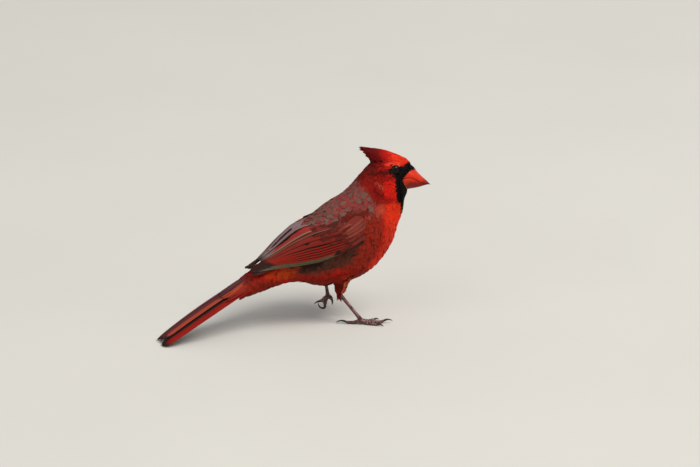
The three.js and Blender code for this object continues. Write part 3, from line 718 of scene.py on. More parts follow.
def unrolled(points):
    """Places on the skin's map, in 0 to 1, of points in straight coordinates."""
    station, side, height = points[:, 0], points[:, 1], points[:, 2]
    angle = np.arctan2(side, height - body_line_height(station))
    low, high = MAP_STATIONS
    u = MAP_MARGIN + (BODY_MAP_WIDTH - 2 * MAP_MARGIN) * (station - low) / (high - low)
    v = MAP_MARGIN + (1 - 2 * MAP_MARGIN) * (angle / (2 * np.pi) + 0.5)
    leg_u = LEG_MAP_START + LEG_MAP_WIDTH * np.clip((LEG_HEIGHT - height) / LEG_DEPTH_MAPPED, 0.0, 1.0)
    turn = np.arctan2(side - np.sign(side) * LEG_SIDE, station - LEG_STATION)
    leg_v = 0.25 + 0.5 * (side > 0) + LEG_MAP_TURN * turn
    on_leg = height < LEG_HEIGHT
    return np.stack([np.where(on_leg, leg_u, u), np.where(on_leg, leg_v, v)], axis=1)


def write_map(mesh, name, coordinates):
    """Gives every corner of every face its place on a map."""
    layer = mesh.uv_layers.new(name=name)
    layer.uv.foreach_set("vector", np.ascontiguousarray(coordinates, dtype=np.float32).ravel())


def corner_points(mesh):
    """The index of the point at each corner of each face."""
    corners = np.empty(len(mesh.loops), dtype=np.int64)
    mesh.loops.foreach_get("vertex_index", corners)
    return corners


def skin_map(mesh, points):
    """The unrolled map, corner by corner. Faces across the seam under the belly stay whole."""
    corners = corner_points(mesh)
    places = unrolled(points)[corners]
    totals = np.empty(len(mesh.polygons), dtype=np.int64)
    mesh.polygons.foreach_get("loop_total", totals)
    face = np.repeat(np.arange(len(totals)), totals)
    first = np.concatenate([[0], np.cumsum(totals)[:-1]])
    lead = places[first][face]
    crosses = np.abs(places[:, 1] - lead[:, 1]) > 0.5
    places[crosses, 1] = lead[crosses, 1]
    return places


write_map(skin.data, BAKE_MAP, skin_map(skin.data, skin_points))
map_places = unrolled(skin_points)
print("skin map:", map_places.min(axis=0).round(3), map_places.max(axis=0).round(3))

# %% [markdown]
# Feather and skin materials read their colours from attributes of the mesh. On a feather the
# vane map tells where a point is: from side to side, and from root to tip. The barbs are a
# fine slanted ripple on that map, in tone and in relief. Down at the root is darker, partly as the
# grey down is and partly as painted shade deep in the coat, which gives the coat its depth. The
# skin is darkened too, as painted shade where it shows between feathers. On the back the fringe
# colour starts near the shaft.

# %% Materials for skin and small feathers
DOWN_SHADE = 0.62
BARBS_PER_VANE = 34.0
BARB_SLANT = 9.0
BARB_RELIEF = 0.00004
SKIN_SHADE = 0.2
PLUMAGE_SHINE = 0.08


def vane_place(tree):
    """Where a point of a feather is, 0 to 1: from side to side, and from root to tip."""
    place = tree.node("ShaderNodeUVMap", {"uv_map": "vane"})
    return [tree.node("ShaderNodeSeparateXYZ", None, place, output=i) for i in (0, 1)]


def feather_material(name, edge_starts=0.5, edge_ends=1.0):
    """The fringe colour takes over between two distances from the middle of the vane."""
    tree = Tree(name)
    across, along = vane_place(tree)
    from_shaft = (across * 2.0 - 1.0).math("ABSOLUTE")
    to_edge = from_shaft ** 2.0 + along.ramp(0.55, 1.05) ** 2.0
    ripple = ((along * BARBS_PER_VANE - from_shaft * BARB_SLANT) * (2 * math.pi)).math("SINE")
    # Darker towards the root: partly the grey down, partly painted shade deep in the coat.
    depth = along.ramp(-0.1, 0.5) * (1 - DOWN_SHADE) + DOWN_SHADE
    light = depth * tree.attribute("tone", "Fac") * (tree.noise(260.0, 2.0) * 0.3 + 0.85)
    fringed = to_edge.ramp(edge_starts, edge_ends)
    color = tree.mix(tree.attribute("middle"), tree.attribute("fringe"), fringed)
    color = tree.times(color, light * (ripple * 0.07 + 1.0))
    normal = tree.bump(ripple, BARB_RELIEF, 0.5)
    return tree.shade(Base_Color=color, Roughness=0.65, Normal=normal, Specular_IOR_Level=PLUMAGE_SHINE)


def skin_material():
    tree = Tree("feathered_skin")
    # Darkened towards black: painted shade deep in the coat, where the skin shows between feathers.
    color = tree.mix(tree.attribute("middle"), (0.0, 0.0, 0.0), SKIN_SHADE)
    normal = tree.bump(tree.noise(900.0, 3.0), 0.0002, 0.6)
    return tree.shade(Base_Color=color, Roughness=0.8, Normal=normal, Specular_IOR_Level=PLUMAGE_SHINE)


def write_attribute(mesh, name, values):
    """Writes a number or a colour for each point of a mesh."""
    if values.ndim == 1:
        layer = mesh.attributes.new(name, "FLOAT", "POINT")
        layer.data.foreach_set("value", values.astype(np.float32))
        return
    layer = mesh.attributes.new(name, "FLOAT_COLOR", "POINT")
    with_alpha = np.concatenate([values, np.ones((len(values), 1))], axis=1)
    layer.data.foreach_set("color", with_alpha.astype(np.float32).ravel())


# Under the folded wing the skin is painted dark, as shade beneath and between the wing feathers.
UNDER_WING_SHADE = np.array(seen(58, 30, 27))
skin_middle, _ = plumage(skin_points, np.ones(len(skin_points)))
skin_middle = blend(skin_middle, UNDER_WING_SHADE, on_wing(skin_points)[:, None])
write_attribute(skin.data, "middle", skin_middle)
skin.data.materials.append(skin_material())
small_feather_finish = feather_material("small_feathers")
back_feather_finish = feather_material("back_feathers", edge_starts=0.04, edge_ends=0.4)
print("materials:", [m.name for m in bpy.data.materials if m.users])

# %% [markdown]
# Nobody models ten thousand feathers one by one. A feather is made once, a unit long and wide,
# as a closed form: an upper face that arches over a flat lower one, with a margin split into
# small points, as barbs part in locks. A template for the face has few faces. The one for the
# body has more, because its feathers are seen one by one.

# %% Feather templates
WIDEST_AT = 0.6
TIP_ROUNDNESS = 0.43
TIP_CURVE = 0.12
THINNEST_ROOT = 0.05


class Template:
    """A unit feather as arrays: points, triangles, and the vane map of each point."""

    def __init__(self, bm, places):
        bmesh.ops.triangulate(bm, faces=bm.faces)
        bmesh.ops.recalc_face_normals(bm, faces=bm.faces)
        bm.verts.index_update()
        self.points = np.array([v.co for v in bm.verts])
        self.faces = np.array([[v.index for v in face.verts] for face in bm.faces])
        self.places = np.array([places[v] for v in bm.verts])
        bm.free()


def vane_half_width(along):
    """Half the width of a vane, widest at WIDEST_AT and round at the tip."""
    if along < WIDEST_AT:
        return 0.5 * math.sqrt(max(THINNEST_ROOT, 1 - (1 - along / WIDEST_AT) ** 2))
    return 0.5 * math.sqrt(max(0.0, 1 - ((along - WIDEST_AT) / TIP_ROUNDNESS) ** 2))


def small_feather(columns, rows, notch, camber, point=0.0):
    """A closed small feather. Point narrows its outer end."""
    bm = bmesh.new()
    bmesh.ops.create_grid(bm, x_segments=columns, y_segments=rows, size=0.5)
    places = {}
    for vert in bm.verts:
        across, along = vert.co.x * 2, vert.co.y + 0.5
        row = round(along * rows)
        column = round((across + 1) / 2 * columns)
        places[vert] = (across / 2 + 0.5, along)
        half_width = vane_half_width(along) * (1 - point * along**3)
        if abs(across) > 0.99 and row % 2 == 1:
            half_width *= 1 - notch
        if row == rows:
            along -= 0.5 * notch * (column % 2) + TIP_CURVE * across**2
        vert.co = (across * half_width, along, camber * (1 - abs(across)) * half_width * 2)
    rim = [edge for edge in bm.edges if edge.is_boundary]
    bmesh.ops.holes_fill(bm, edges=rim, sides=0)
    return Template(bm, places)


FACE_FEATHER = small_feather(columns=2, rows=3, notch=0.2, camber=0.1)
BODY_FEATHER = small_feather(columns=4, rows=6, notch=0.22, camber=0.1)
LONG_FEATHER = small_feather(columns=4, rows=9, notch=0.3, camber=0.12)
POINTED_FEATHER = small_feather(columns=4, rows=7, notch=0.25, camber=0.16, point=0.8)
SMALL_TEMPLATES = (FACE_FEATHER, BODY_FEATHER, LONG_FEATHER, POINTED_FEATHER)
print("triangles of each small feather:", [len(template.faces) for template in SMALL_TEMPLATES])

# %% [markdown]
# Feathers follow the lie of the coat: away from the bill on the face, around the eye, up and
# back on the crown, then down the neck and back along the belly. The direction is worked out at
# each point of the skin from a line through the body, turned to lie along the surface, and
# evened out with its neighbours.

# %% Lie of the coat
LIE_LINE = np.array([(60, 118), (36, 106), (24, 92), (12, 72), (-12, 54), (-45, 43), (-90, 28)],
                    dtype=float)
CROWN_SLOPE, CROWN_REACH = 0.25, (104.0, 110.0)
LEG_TOP, LEG_FADE, DOWN_THE_LEG = 30.0, 5.0, np.array([0.15, 0.0, -1.0])
LINE_BLUR = 2.0
LIE_EVENING = 0.7
CREST_TIP = np.array([6.0, 0.0, 126.0])
BILL_BASE = np.array([47.0, 0.0, 104.0])
FACE_REACH = (9.0, 24.0)
EVENING_ROUNDS = 12
AROUND_EYE = (5.0, 9.5)


def along_body(points):
    """Direction of the middle of the body beside each point, from head to tail."""
    station, height = points[:, 0], points[:, 2]
    steps = np.diff(LIE_LINE, axis=0)
    headings = steps / np.linalg.norm(steps, axis=1)[:, None]
    middles = (LIE_LINE[1:] + LIE_LINE[:-1]) / 2
    away = np.hypot(station[:, None] - middles[:, 0], height[:, None] - middles[:, 1])
    weights = 1 / (away + LINE_BLUR) ** 4
    mean = (weights[:, :, None] * headings).sum(axis=1)
    return np.stack([mean[:, 0], np.zeros(len(points)), mean[:, 1]], axis=1)


def unit(vectors):
    lengths = np.linalg.norm(vectors, axis=-1, keepdims=True)
    return vectors / np.maximum(lengths, 1e-9)


def flattened(vectors, normals):
    """Vectors turned to lie along the surface."""
    return unit(vectors - (vectors * normals).sum(axis=-1, keepdims=True) * normals)


def lie_of_coat(points, normals):
    lie = unit(along_body(points))
    on_crown = smooth_step(points[:, 2] - CROWN_SLOPE * points[:, 0], *CROWN_REACH)[:, None]
    lie = blend(lie, unit(CREST_TIP - points), on_crown)
    from_bill = points - BILL_BASE
    to_bill = np.linalg.norm(from_bill, axis=1, keepdims=True)
    lie = blend(unit(from_bill), lie, smooth_step(to_bill, *FACE_REACH))
    on_leg = smooth_step(LEG_TOP - points[:, 2], 0.0, LEG_FADE)[:, None]
    lie = flattened(blend(lie, DOWN_THE_LEG, on_leg), normals)
    for sign in SIDES.values():
        to_eye = mirrored(EYE_CENTRE + EYE_AXIS * EYE_RADIUS, sign) - points
        distance = np.linalg.norm(to_eye, axis=1, keepdims=True)
        inwards = np.maximum((lie * unit(to_eye)).sum(axis=1, keepdims=True), 0.0)
        near = 1 - smooth_step(distance, *AROUND_EYE)
        lie = lie - inwards * near * unit(to_eye)
    return lie


skin_lie = lie_of_coat(skin_points, skin_normals)
skin_lie = smooth_points(skin.data, skin_lie, LIE_EVENING, EVENING_ROUNDS)
skin_lie = flattened(skin_lie, skin_normals)
print("lie of the coat found at", len(skin_lie), "points")

# %% [markdown]
# Size changes over the bird: a feather beside the bill is as small as a hair, one on the belly
# is a centimetre long. A few measured places give the spacing, length and width in millimetres,
# and anywhere else takes a mean of them that favours the nearest.

# %% Growth of the small feathers
GROWTH = [
    # station, height, spacing, length, width
    (44.0, 112.0, 0.9, 3.2, 1.4),
    (44.0, 97.0, 0.9, 3.2, 1.4),
    (35.0, 111.0, 0.85, 2.8, 1.4),
    (32.0, 118.0, 1.1, 5.5, 1.7),
    (20.0, 120.0, 1.15, 7.5, 1.7),
    (27.0, 98.0, 1.1, 5.4, 2.4),
    (37.0, 90.0, 1.1, 4.8, 2.2),
    (12.0, 101.0, 1.5, 7.5, 3.2),
    (30.0, 76.0, 1.7, 8.0, 3.6),
    (22.0, 56.0, 1.9, 9.5, 4.4),
    (0.0, 34.0, 2.0, 10.5, 4.8),
    (-34.0, 40.0, 2.1, 11.5, 5.0),
    (-66.0, 36.0, 2.0, 12.0, 4.4),
    (-4.0, 88.0, 1.9, 8.5, 4.6),
    (-26.0, 75.0, 1.9, 8.5, 4.6),
    (-8.0, 20.0, 1.1, 6.5, 2.2),
]
PLACE_BLUR = 1.0


def growth_at(points):
    """Spacing, length and width of the feathers rooted at some points, in millimetres."""
    table = np.array(GROWTH)
    away = np.hypot(points[:, :1] - table[:, 0], points[:, 2:] - table[:, 1])
    weights = 1 / (away + PLACE_BLUR) ** 3
    return (weights @ table[:, 2:] / weights.sum(axis=1, keepdims=True)).T


def search_tree(points):
    tree = KDTree(len(points))
    for index, point in enumerate(points):
        tree.insert(point, index)
    tree.balance()
    return tree


def choose_roots(candidates, spacing, rng):
    """Picks points in random order, each no nearer to another than the spacing there."""
    tree = search_tree(candidates)
    free = np.ones(len(candidates), dtype=bool)
    chosen = []
    for index in rng.permutation(len(candidates)):
        if free[index]:
            chosen.append(index)
            for _, near, _ in tree.find_range(candidates[index], spacing[index]):
                free[near] = False
    return np.array(chosen)


def scattered(mesh, points, rng, per_face=2):
    """Random points on the four-sided faces of a mesh, and the index of a corner for each."""
    quads = np.repeat(corner_points(mesh).reshape(-1, 4), per_face, axis=0)
    a, b = rng.random((2, len(quads), 1))
    p = points[quads]
    spots = (p[:, 0] * (1 - a) + p[:, 1] * a) * (1 - b) + (p[:, 3] * (1 - a) + p[:, 2] * a) * b
    return spots, quads[:, 0]


belly_growth = growth_at(np.array([[0.0, 0.0, 34.0]]))[:, 0]
print("spacing, length and width of a belly feather, mm:", belly_growth.round(1))

# %% [markdown]
# A feather's shaft is walked over the skin in short steps. At each step it takes the lie and
# the normal of the nearest skin point, so it bends with the body. It starts under the coat and
# its tip rises to the top of it, where the next row covers its root. Where the skin ends ahead
# of it, as at the foot of the thigh, it goes straight on.

# %% Walk the shafts over the skin
SHARPEST_TURN = 0.45
ROOT_DEPTH = 0.15
RISING = 0.8
TAIL_RUNS_FREE_FROM = -68.0
CREST_RUNS_FREE_FROM, CREST_RUNS_FREE_ABOVE = 22.0, 113.0


class Shafts:
    """Many feathers' middles, with the way across, the way up and the droop at each step.

    The droop is the curvature, across the feather, of the surface it lies on.
    """

    def __init__(self, middle, across, up, width, droop=None):
        self.middle, self.across, self.up, self.width = middle, across, up, width
        self.droop = np.zeros(middle.shape[:2]) if droop is None else droop


def at_free_end(points):
    """Whether feathers may run on past the skin: on the legs, the tail's root and the crest."""
    station, height = points[:, 0], points[:, 2]
    on_crest = (station < CREST_RUNS_FREE_FROM) & (height > CREST_RUNS_FREE_ABOVE)
    return (height < LEG_HEIGHT) | (station < TAIL_RUNS_FREE_FROM) | on_crest


def nearest_in(tree, points):
    """The index of the tree's point that is nearest to each of some points."""
    return np.array([tree.find(point)[1] for point in points])


skin_tree = search_tree(skin_points)


def walk(roots, start, length, turn, steps, top):
    """Shafts from roots on the skin, each turned a little from the lie of the coat.

    Top is the height of the tips over the skin.
    """
    point, nearest = roots.copy(), start
    up, lie = skin_normals[start], skin_lie[start]
    past_end = np.zeros((len(roots), 1), dtype=bool)
    middle, lies, ups = [], [], []
    cosine, sine = np.cos(turn)[:, None], np.sin(turn)[:, None]
    for step in range(steps + 1):
        normal, along = skin_normals[nearest], skin_lie[nearest]
        leaves = (normal * lie).sum(axis=1) > SHARPEST_TURN
        past_end |= (leaves & at_free_end(point))[:, None]
        off_skin = ((point - skin_points[nearest]) * normal).sum(axis=1, keepdims=True)
        along = along * cosine + np.cross(normal, along) * sine
        point = np.where(past_end, point, point - off_skin * normal)
        lie = np.where(past_end, lie, along)
        up = np.where(past_end, up, normal)
        middle.append(point + up * blend(-ROOT_DEPTH, top, (step / steps) ** RISING)[:, None])
        lies.append(lie)
        ups.append(up)
        if step < steps:
            point = point + lie * (length / steps)[:, None]
            nearest = nearest_in(skin_tree, point)
    return [np.stack(part, axis=1) for part in (middle, lies, ups)]


def bend_template(template, shafts):
    """Each feather's points: the template bent along each shaft."""
    steps = shafts.middle.shape[1] - 1
    place = np.clip(template.points[:, 1], 0.0, 1.0) * steps
    low = np.minimum(place.astype(int), steps - 1)
    share = (place - low)[None, :, None]
    parts = (shafts.middle, shafts.across, shafts.up, shafts.droop[:, :, None])
    middle, across, up, droop = (blend(part[:, low], part[:, low + 1], share) for part in parts)
    width = shafts.width[:, None, None]
    x, z = template.points[None, :, :1] * width, template.points[None, :, 2:] * width
    return middle + across * x + up * (z - droop * x**2 / 2)


def shade_smoothly(mesh):
    mesh.polygons.foreach_set("use_smooth", np.ones(len(mesh.polygons), dtype=bool))


def mesh_of(name, points, faces):
    """A smooth mesh of triangles, from arrays in straight coordinates."""
    mesh = bpy.data.meshes.new(name)
    mesh.vertices.add(len(points))
    mesh.loops.add(faces.size)
    mesh.polygons.add(faces.size // 3)
    mesh.vertices.foreach_set("co", bend(points).astype(np.float32).ravel())
    mesh.loops.foreach_set("vertex_index", faces.ravel().astype(np.int32))
    mesh.polygons.foreach_set("loop_start", np.arange(0, faces.size, 3, dtype=np.int32))
    mesh.update(calc_edges=True)
    shade_smoothly(mesh)
    return mesh


def add_piece(name, mesh, material):
    mesh.materials.append(material)
    piece = add_object(name, mesh)
    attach(piece, "root")
    return piece


def add_feathers(name, template, shafts, looks, patches, material, softness):
    """Makes one piece of many feathers, with their looks, maps and softened normals.

    Looks holds an array for each attribute, with a value for each feather. Patches is where on
    the map each feather's low corner lies, and the size of its place there. A feather of the
    other side of the bird is a mirror image, so its faces are turned round.
    """
    count, each = len(shafts.width), len(template.points)
    points = bend_template(template, shafts).reshape(-1, 3)
    along = shafts.middle[:, 1:] - shafts.middle[:, :-1]
    same_hand = (np.cross(shafts.across[:, 1:], along) * shafts.up[:, 1:]).sum() > 0
    outside = template.faces if same_hand else template.faces[:, ::-1]
    mesh = mesh_of(name, points, outside[None] + each * np.arange(count)[:, None, None])
    vane = np.broadcast_to(template.places[outside.ravel()], (count, outside.size, 2))
    low, size = patches
    write_map(mesh, BAKE_MAP, low[:, None, :] + vane.clip(0.0, 1.0) * size)
    write_map(mesh, "vane", vane)
    for key, values in looks.items():
        write_attribute(mesh, key, np.repeat(values, each, axis=0))
    upright = bend(points + np.repeat(shafts.up.mean(axis=1), each, axis=0)) - bend(points)
    normals = unit(blend(normals_of(mesh), unit(upright), softness))
    mesh.normals_split_custom_set_from_vertices(normals)
    return add_piece(name, mesh, material)


print("points of skin to walk over:", len(skin_points))

# %% [markdown]
# The coat is planted in regions, from face to thighs. Each region takes the roots in its part
# of the skin. No feather is rooted in the opening of the lids, beneath the bill, on an end of
# the skin that faces along the lie, or under the folded wing, where long feathers cover the
# body. A feather that would have to twist, as in the fold below the crest, is left out too.

# %% Plant the coat
SEED = 7
LID_CLEARANCE = 3.7
BILL_CLEARANCE = 0.5
WING_TIP_CLEARANCE = 2.3
WING_TIPS_FROM = -24.0
UNDER_WING_TIPS = -46.0
TAIL_COAT_END, THIGH_END = -71.5, 22.6
CREST_FOOT, CREST_REAR = 114.5, 19.0
END_FACING = 0.6
UPPER_COVERTS_FROM = -70.0
NEARLY_COVERED = 0.9
NEAR_BILL = 38.0
UNDER_TIP_CLEARANCE = 1.3 * WING_TIP_CLEARANCE
TURN_SPREAD = 0.16
TONE_SPREAD, MOST_TONE = 0.07, 0.25
LENGTHS, WIDTHS, TIP_HEIGHTS = (0.85, 1.15), (0.88, 1.12), (0.75, 1.05)
OVER_WING = 0.12
SHOULDER_FRONT, SHOULDER_REAR = (6.0, 9.0), (-15.0, -12.0)
SHOULDER_HEIGHTS, SHOULDER_FROM_MIDDLE = (56.0, 83.0), 13.0
LEAST_EVEN = 0.35
SMALL_UP_TO = 6.3
NAPE_STATION, NAPE_HEIGHT, NAPE_SLOPE = 20, 86, 0.3
BACK_ABOVE = ([-40, 0, 20], [60, 74, 82])
TAIL_END_BEHIND, BREAST_AHEAD = -40, 4


def tree_of(names):
    """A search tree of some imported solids, in straight coordinates."""
    whole = gathered(straight_copy(name) for name in names)
    tree = BVHTree.FromBMesh(whole)
    whole.free()
    return tree


def clear_of_eyes(points):
    clear = np.ones(len(points), dtype=bool)
    for sign in SIDES.values():
        outwards = points - mirrored(EYE_CENTRE, sign)
        ahead = outwards @ mirrored(EYE_AXIS, sign)
        from_axis = np.linalg.norm(outwards - ahead[:, None] * mirrored(EYE_AXIS, sign), axis=1)
        clear &= (from_axis > LID_CLEARANCE) | (ahead < 0.0)
    return clear


def clear_of(names, points, clearance, nearby):
    """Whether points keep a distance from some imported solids. Only those nearby are tested."""
    tree = tree_of(names)
    clear = np.ones(len(points), dtype=bool)
    clear[nearby] = [tree.find_nearest(point, clearance)[0] is None for point in points[nearby]]
    return clear


def off_the_ends(corners):
    """False where the skin faces along the lie, as at the foot of the thigh."""
    lie = unit(along_body(skin_points[corners]))
    on_leg = skin_points[corners, 2] < LEG_HEIGHT
    lie[on_leg] = (0.0, 0.0, -1.0)
    return (lie * skin_normals[corners]).sum(axis=1) < END_FACING


rng = np.random.default_rng(SEED)
spots, beside = scattered(skin.data, skin_points, rng)
can_grow = clear_of_eyes(spots) & (on_wing(spots) < NEARLY_COVERED) & off_the_ends(beside)
can_grow &= (spots[:, 0] > UPPER_COVERTS_FROM) | (spots[:, 2] < body_line_height(spots[:, 0]))
can_grow &= (spots[:, 2] < CREST_FOOT) | (spots[:, 0] > CREST_REAR)
can_grow &= (spots[:, 0] > TAIL_COAT_END) & ((spots[:, 2] > THIGH_END) | (spots[:, 0] < LEGS_FROM))
can_grow &= clear_of(["bill_upper", "bill_lower"], spots, BILL_CLEARANCE, spots[:, 0] > NEAR_BILL)
can_grow &= clear_of(wing_nodes, spots, WING_TIP_CLEARANCE, spots[:, 0] < WING_TIPS_FROM)
can_grow &= clear_of(wing_nodes, spots, UNDER_TIP_CLEARANCE, spots[:, 0] < UNDER_WING_TIPS)
spots, beside = spots[can_grow], beside[can_grow]
spacing, _, _ = growth_at(spots)
chosen = choose_roots(spots, spacing, rng)
roots, beside = spots[chosen], beside[chosen]
print("roots:", len(roots))


def coat_looks(places, spread, most, rng):
    """Colours by the markings at some places, and tones that spread at most so far."""
    middle, fringe = plumage(places, rng.random(len(places)))
    tone = 1 + rng.normal(0.0, spread, len(places)).clip(-most, most)
    return dict(middle=middle, fringe=fringe, tone=tone)


def add_small_feathers(name, template, shafts, roots, looks, material, softness):
    """Each of these feathers has a small patch of the map, at the place of its root."""
    patches = (unrolled(roots) - PATCH_SIZE / 2, PATCH_SIZE)
    return add_feathers(name, template, shafts, looks, patches, material, softness)


def plant(name, template, mask, steps, softness, standing=1.0, material=small_feather_finish):
    """Grows the feathers whose roots a mask picks. Standing is how far out their tips rise."""
    picked, start = roots[mask], beside[mask]
    count = len(picked)
    _, length, width = growth_at(picked)
    length = length * rng.uniform(*LENGTHS, count)
    width = width * rng.uniform(*WIDTHS, count)
    turn = rng.normal(0.0, TURN_SPREAD, count)
    station, side, height = picked.T
    over_wing = smooth_step(station, *SHOULDER_FRONT) * smooth_step(-station, *SHOULDER_REAR)
    over_wing *= (height > SHOULDER_HEIGHTS[0]) & (height < SHOULDER_HEIGHTS[1])
    over_wing *= np.abs(side) > SHOULDER_FROM_MIDDLE
    standing = standing + OVER_WING * over_wing
    top = coat_depth(picked) * rng.uniform(*TIP_HEIGHTS, count) * standing
    middle, lies, ups = walk(picked, start, length, turn, steps, top)
    kept = (ups[:, 0] * ups[:, -1]).sum(axis=1) > LEAST_EVEN
    picked, middle, lies, ups, width = (values[kept] for values in (picked, middle, lies, ups, width))
    shafts = Shafts(middle, np.cross(lies, ups), ups, width)
    looks = coat_looks(middle[:, -2], TONE_SPREAD, MOST_TONE, rng)
    return add_small_feathers(name, template, shafts, picked, looks, material, softness)


_, root_length, _ = growth_at(roots)
small = root_length < SMALL_UP_TO
station, side, height = roots.T
on_head = height > NAPE_HEIGHT - NAPE_SLOPE * (station - NAPE_STATION)
on_back = ~on_head & (height > np.interp(station, *BACK_ABOVE))
on_tail_end = station < TAIL_END_BEHIND
on_thigh = height < LEG_HEIGHT
elsewhere = ~on_head & ~on_back & ~on_tail_end & ~on_thigh
on_breast = elsewhere & (station > BREAST_AHEAD)
coat = [
    plant("head_small_feathers", FACE_FEATHER, on_head & small, 3, 0.7, 0.75),
    plant("head_feathers", BODY_FEATHER, on_head & ~small, 4, 0.65, 0.8),
    plant("back_feathers", BODY_FEATHER, on_back & ~on_tail_end, 5, 0.6, material=back_feather_finish),
    plant("breast_feathers", BODY_FEATHER, on_breast, 5, 0.7),
    plant("belly_feathers", BODY_FEATHER, elsewhere & ~on_breast, 5, 0.65),
    plant("tail_base_feathers", LONG_FEATHER, on_tail_end & ~on_head, 6, 0.6),
    plant("thigh_feathers", POINTED_FEATHER, on_thigh & ~on_tail_end, 4, 0.5, 0.4),
]
for piece in coat:
    print(piece.name, len(piece.data.polygons), "triangles")

# %% [markdown]
# The folded wing is a pile of long feathers on the flank. It could be sculpted as one shell
# with grooves, but real edges and real overlaps catch the light better, so each feather is laid
# by itself. They need a surface to lie on. Seen from the line through the body, the wing has
# one distance at each station and angle, and a grid of such distances, measured on the packed
# wing, is that surface. It is continued smoothly past the wing's edges.

# %% The surface of the folded wing
WING_LINE = np.array([(-80, 33), (-60, 40), (-30, 52), (0, 60), (20, 66)], dtype=float)
STATION_GAP, ANGLE_GAP = 1.0, 2.0
GRID_STATIONS = np.arange(-76.0, 22.0, STATION_GAP)
GRID_ANGLES = np.arange(-12.0, 122.0, ANGLE_GAP)
OUTSIDE = 70.0
SPREADING_ROUNDS, GRID_SMOOTHING_ROUNDS = 60, 3
SLOPE_STEP = 2.0
WING_REACH = 13.0
DROOP_ROUNDS = 6
MOST_DROOP = 0.09


def ray_distance(tree, station, angle):
    """Distance of a surface from the line, at a station and angle on the right side."""
    centre = Vector((station, 0.0, np.interp(station, *WING_LINE.T)))
    outwards = Vector((0.0, -math.sin(math.radians(angle)), math.cos(math.radians(angle))))
    hit = tree.ray_cast(centre + outwards * OUTSIDE, -outwards)
    return np.nan if hit[0] is None else (hit[0] - centre).length


def neighbour_mean(grid):
    """The mean of each cell's neighbours that aren't empty, and whether it has any."""
    padded = np.pad(grid, 1, mode="edge")
    around = np.stack([padded[:-2, 1:-1], padded[2:, 1:-1], padded[1:-1, :-2], padded[1:-1, 2:]])
    known = np.isfinite(around)
    total = np.where(known, around, 0.0).sum(axis=0)
    return total / np.maximum(known.sum(axis=0), 1), known.any(axis=0)


wing_tree = tree_of([f"wing_right_{part}" for part in WING_PARTS])
distances = np.array([[ray_distance(wing_tree, s, a) for a in GRID_ANGLES] for s in GRID_STATIONS])
measured = np.isfinite(distances)
for _ in range(SPREADING_ROUNDS):
    mean, reached = neighbour_mean(distances)
    distances = np.where(measured, distances, np.where(reached, mean, distances))
distances = np.where(np.isfinite(distances), distances, np.nanmean(distances))
for _ in range(GRID_SMOOTHING_ROUNDS):
    distances = blend(distances, neighbour_mean(distances)[0], 0.5)
print("distances in the wing grid, mm:", distances.min().round(1), "to", distances.max().round(1))


def grid_distance(station, angle):
    """The distance between grid points, by linear interpolation."""
    x = np.clip((station - GRID_STATIONS[0]) / STATION_GAP, 0, len(GRID_STATIONS) - 1.001)
    y = np.clip((angle - GRID_ANGLES[0]) / ANGLE_GAP, 0, len(GRID_ANGLES) - 1.001)
    i, j = x.astype(int), y.astype(int)
    near = blend(distances[i, j], distances[i, j + 1], y - j)
    far = blend(distances[i + 1, j], distances[i + 1, j + 1], y - j)
    return blend(near, far, x - i)


def on_grid(station, angle, sign):
    """Points on the wing's surface, in straight coordinates."""
    distance = grid_distance(station, angle)
    radians = np.radians(angle)
    height = np.interp(station, *WING_LINE.T) + distance * np.cos(radians)
    return np.stack([station, sign * distance * np.sin(radians), height], axis=-1)


def lay_on(surface, station, place, sign, reach, widths, rise=0.0):
    """Shafts for paths at some rise over a surface. Across points to lower places on it.

    Reach is a step in place about as wide as a feather. How far the surface has fallen away
    there gives the feather's droop.
    """
    middle = surface(station, place, sign)
    near = reach / 4
    outwards = unit(surface(station, place + near, sign) - surface(station, place - near, sign))
    back = unit(surface(station - SLOPE_STEP, place, sign) - surface(station + SLOPE_STEP, place, sign))
    up = unit(np.cross(outwards, back)) * sign
    along = unit(np.gradient(middle, axis=1))
    across = unit(np.cross(along, up))
    across = np.where((across * outwards).sum(axis=-1, keepdims=True) > 0, -across, across)
    inner = surface(station, place - reach, sign) - middle
    droop = -2 * (inner * up).sum(axis=-1) / (inner**2).sum(axis=-1)
    for _ in range(DROOP_ROUNDS):
        ends = np.pad(droop, ((0, 0), (1, 1)), mode="edge")
        droop = blend(droop, (ends[:, 2:] + ends[:, :-2]) / 2, 0.5)
    return Shafts(middle + up * rise, across, up, widths, np.clip(droop, 0.0, MOST_DROOP))


# %% [markdown]
# A long feather has a stiff shaft, a narrow vane on its outer side and a broad one on its
# inner side, which lies under the feather above. Only the outer margin shows, so the feather is
# placed by that margin: the template's x runs from the margin inwards. It leans, inner vane
# down, like a roof tile, and it is a closed plate with the shaft as a ridge.

# %% Template of a long feather
SHAFT_AT = 0.27
COLUMNS = [0.0, 0.1, 0.2, SHAFT_AT, 0.34, 0.6, 1.0]
ROW_CROWDING = 0.85
TIP_CLOSING = 0.92
ROOT_WIDTH, WIDENING = 0.45, 6
NOTCH_DEPTH = 0.16
FEATHER_THICKNESS = 0.013
TILT = 0.125
SHAFT_RISE = 0.012


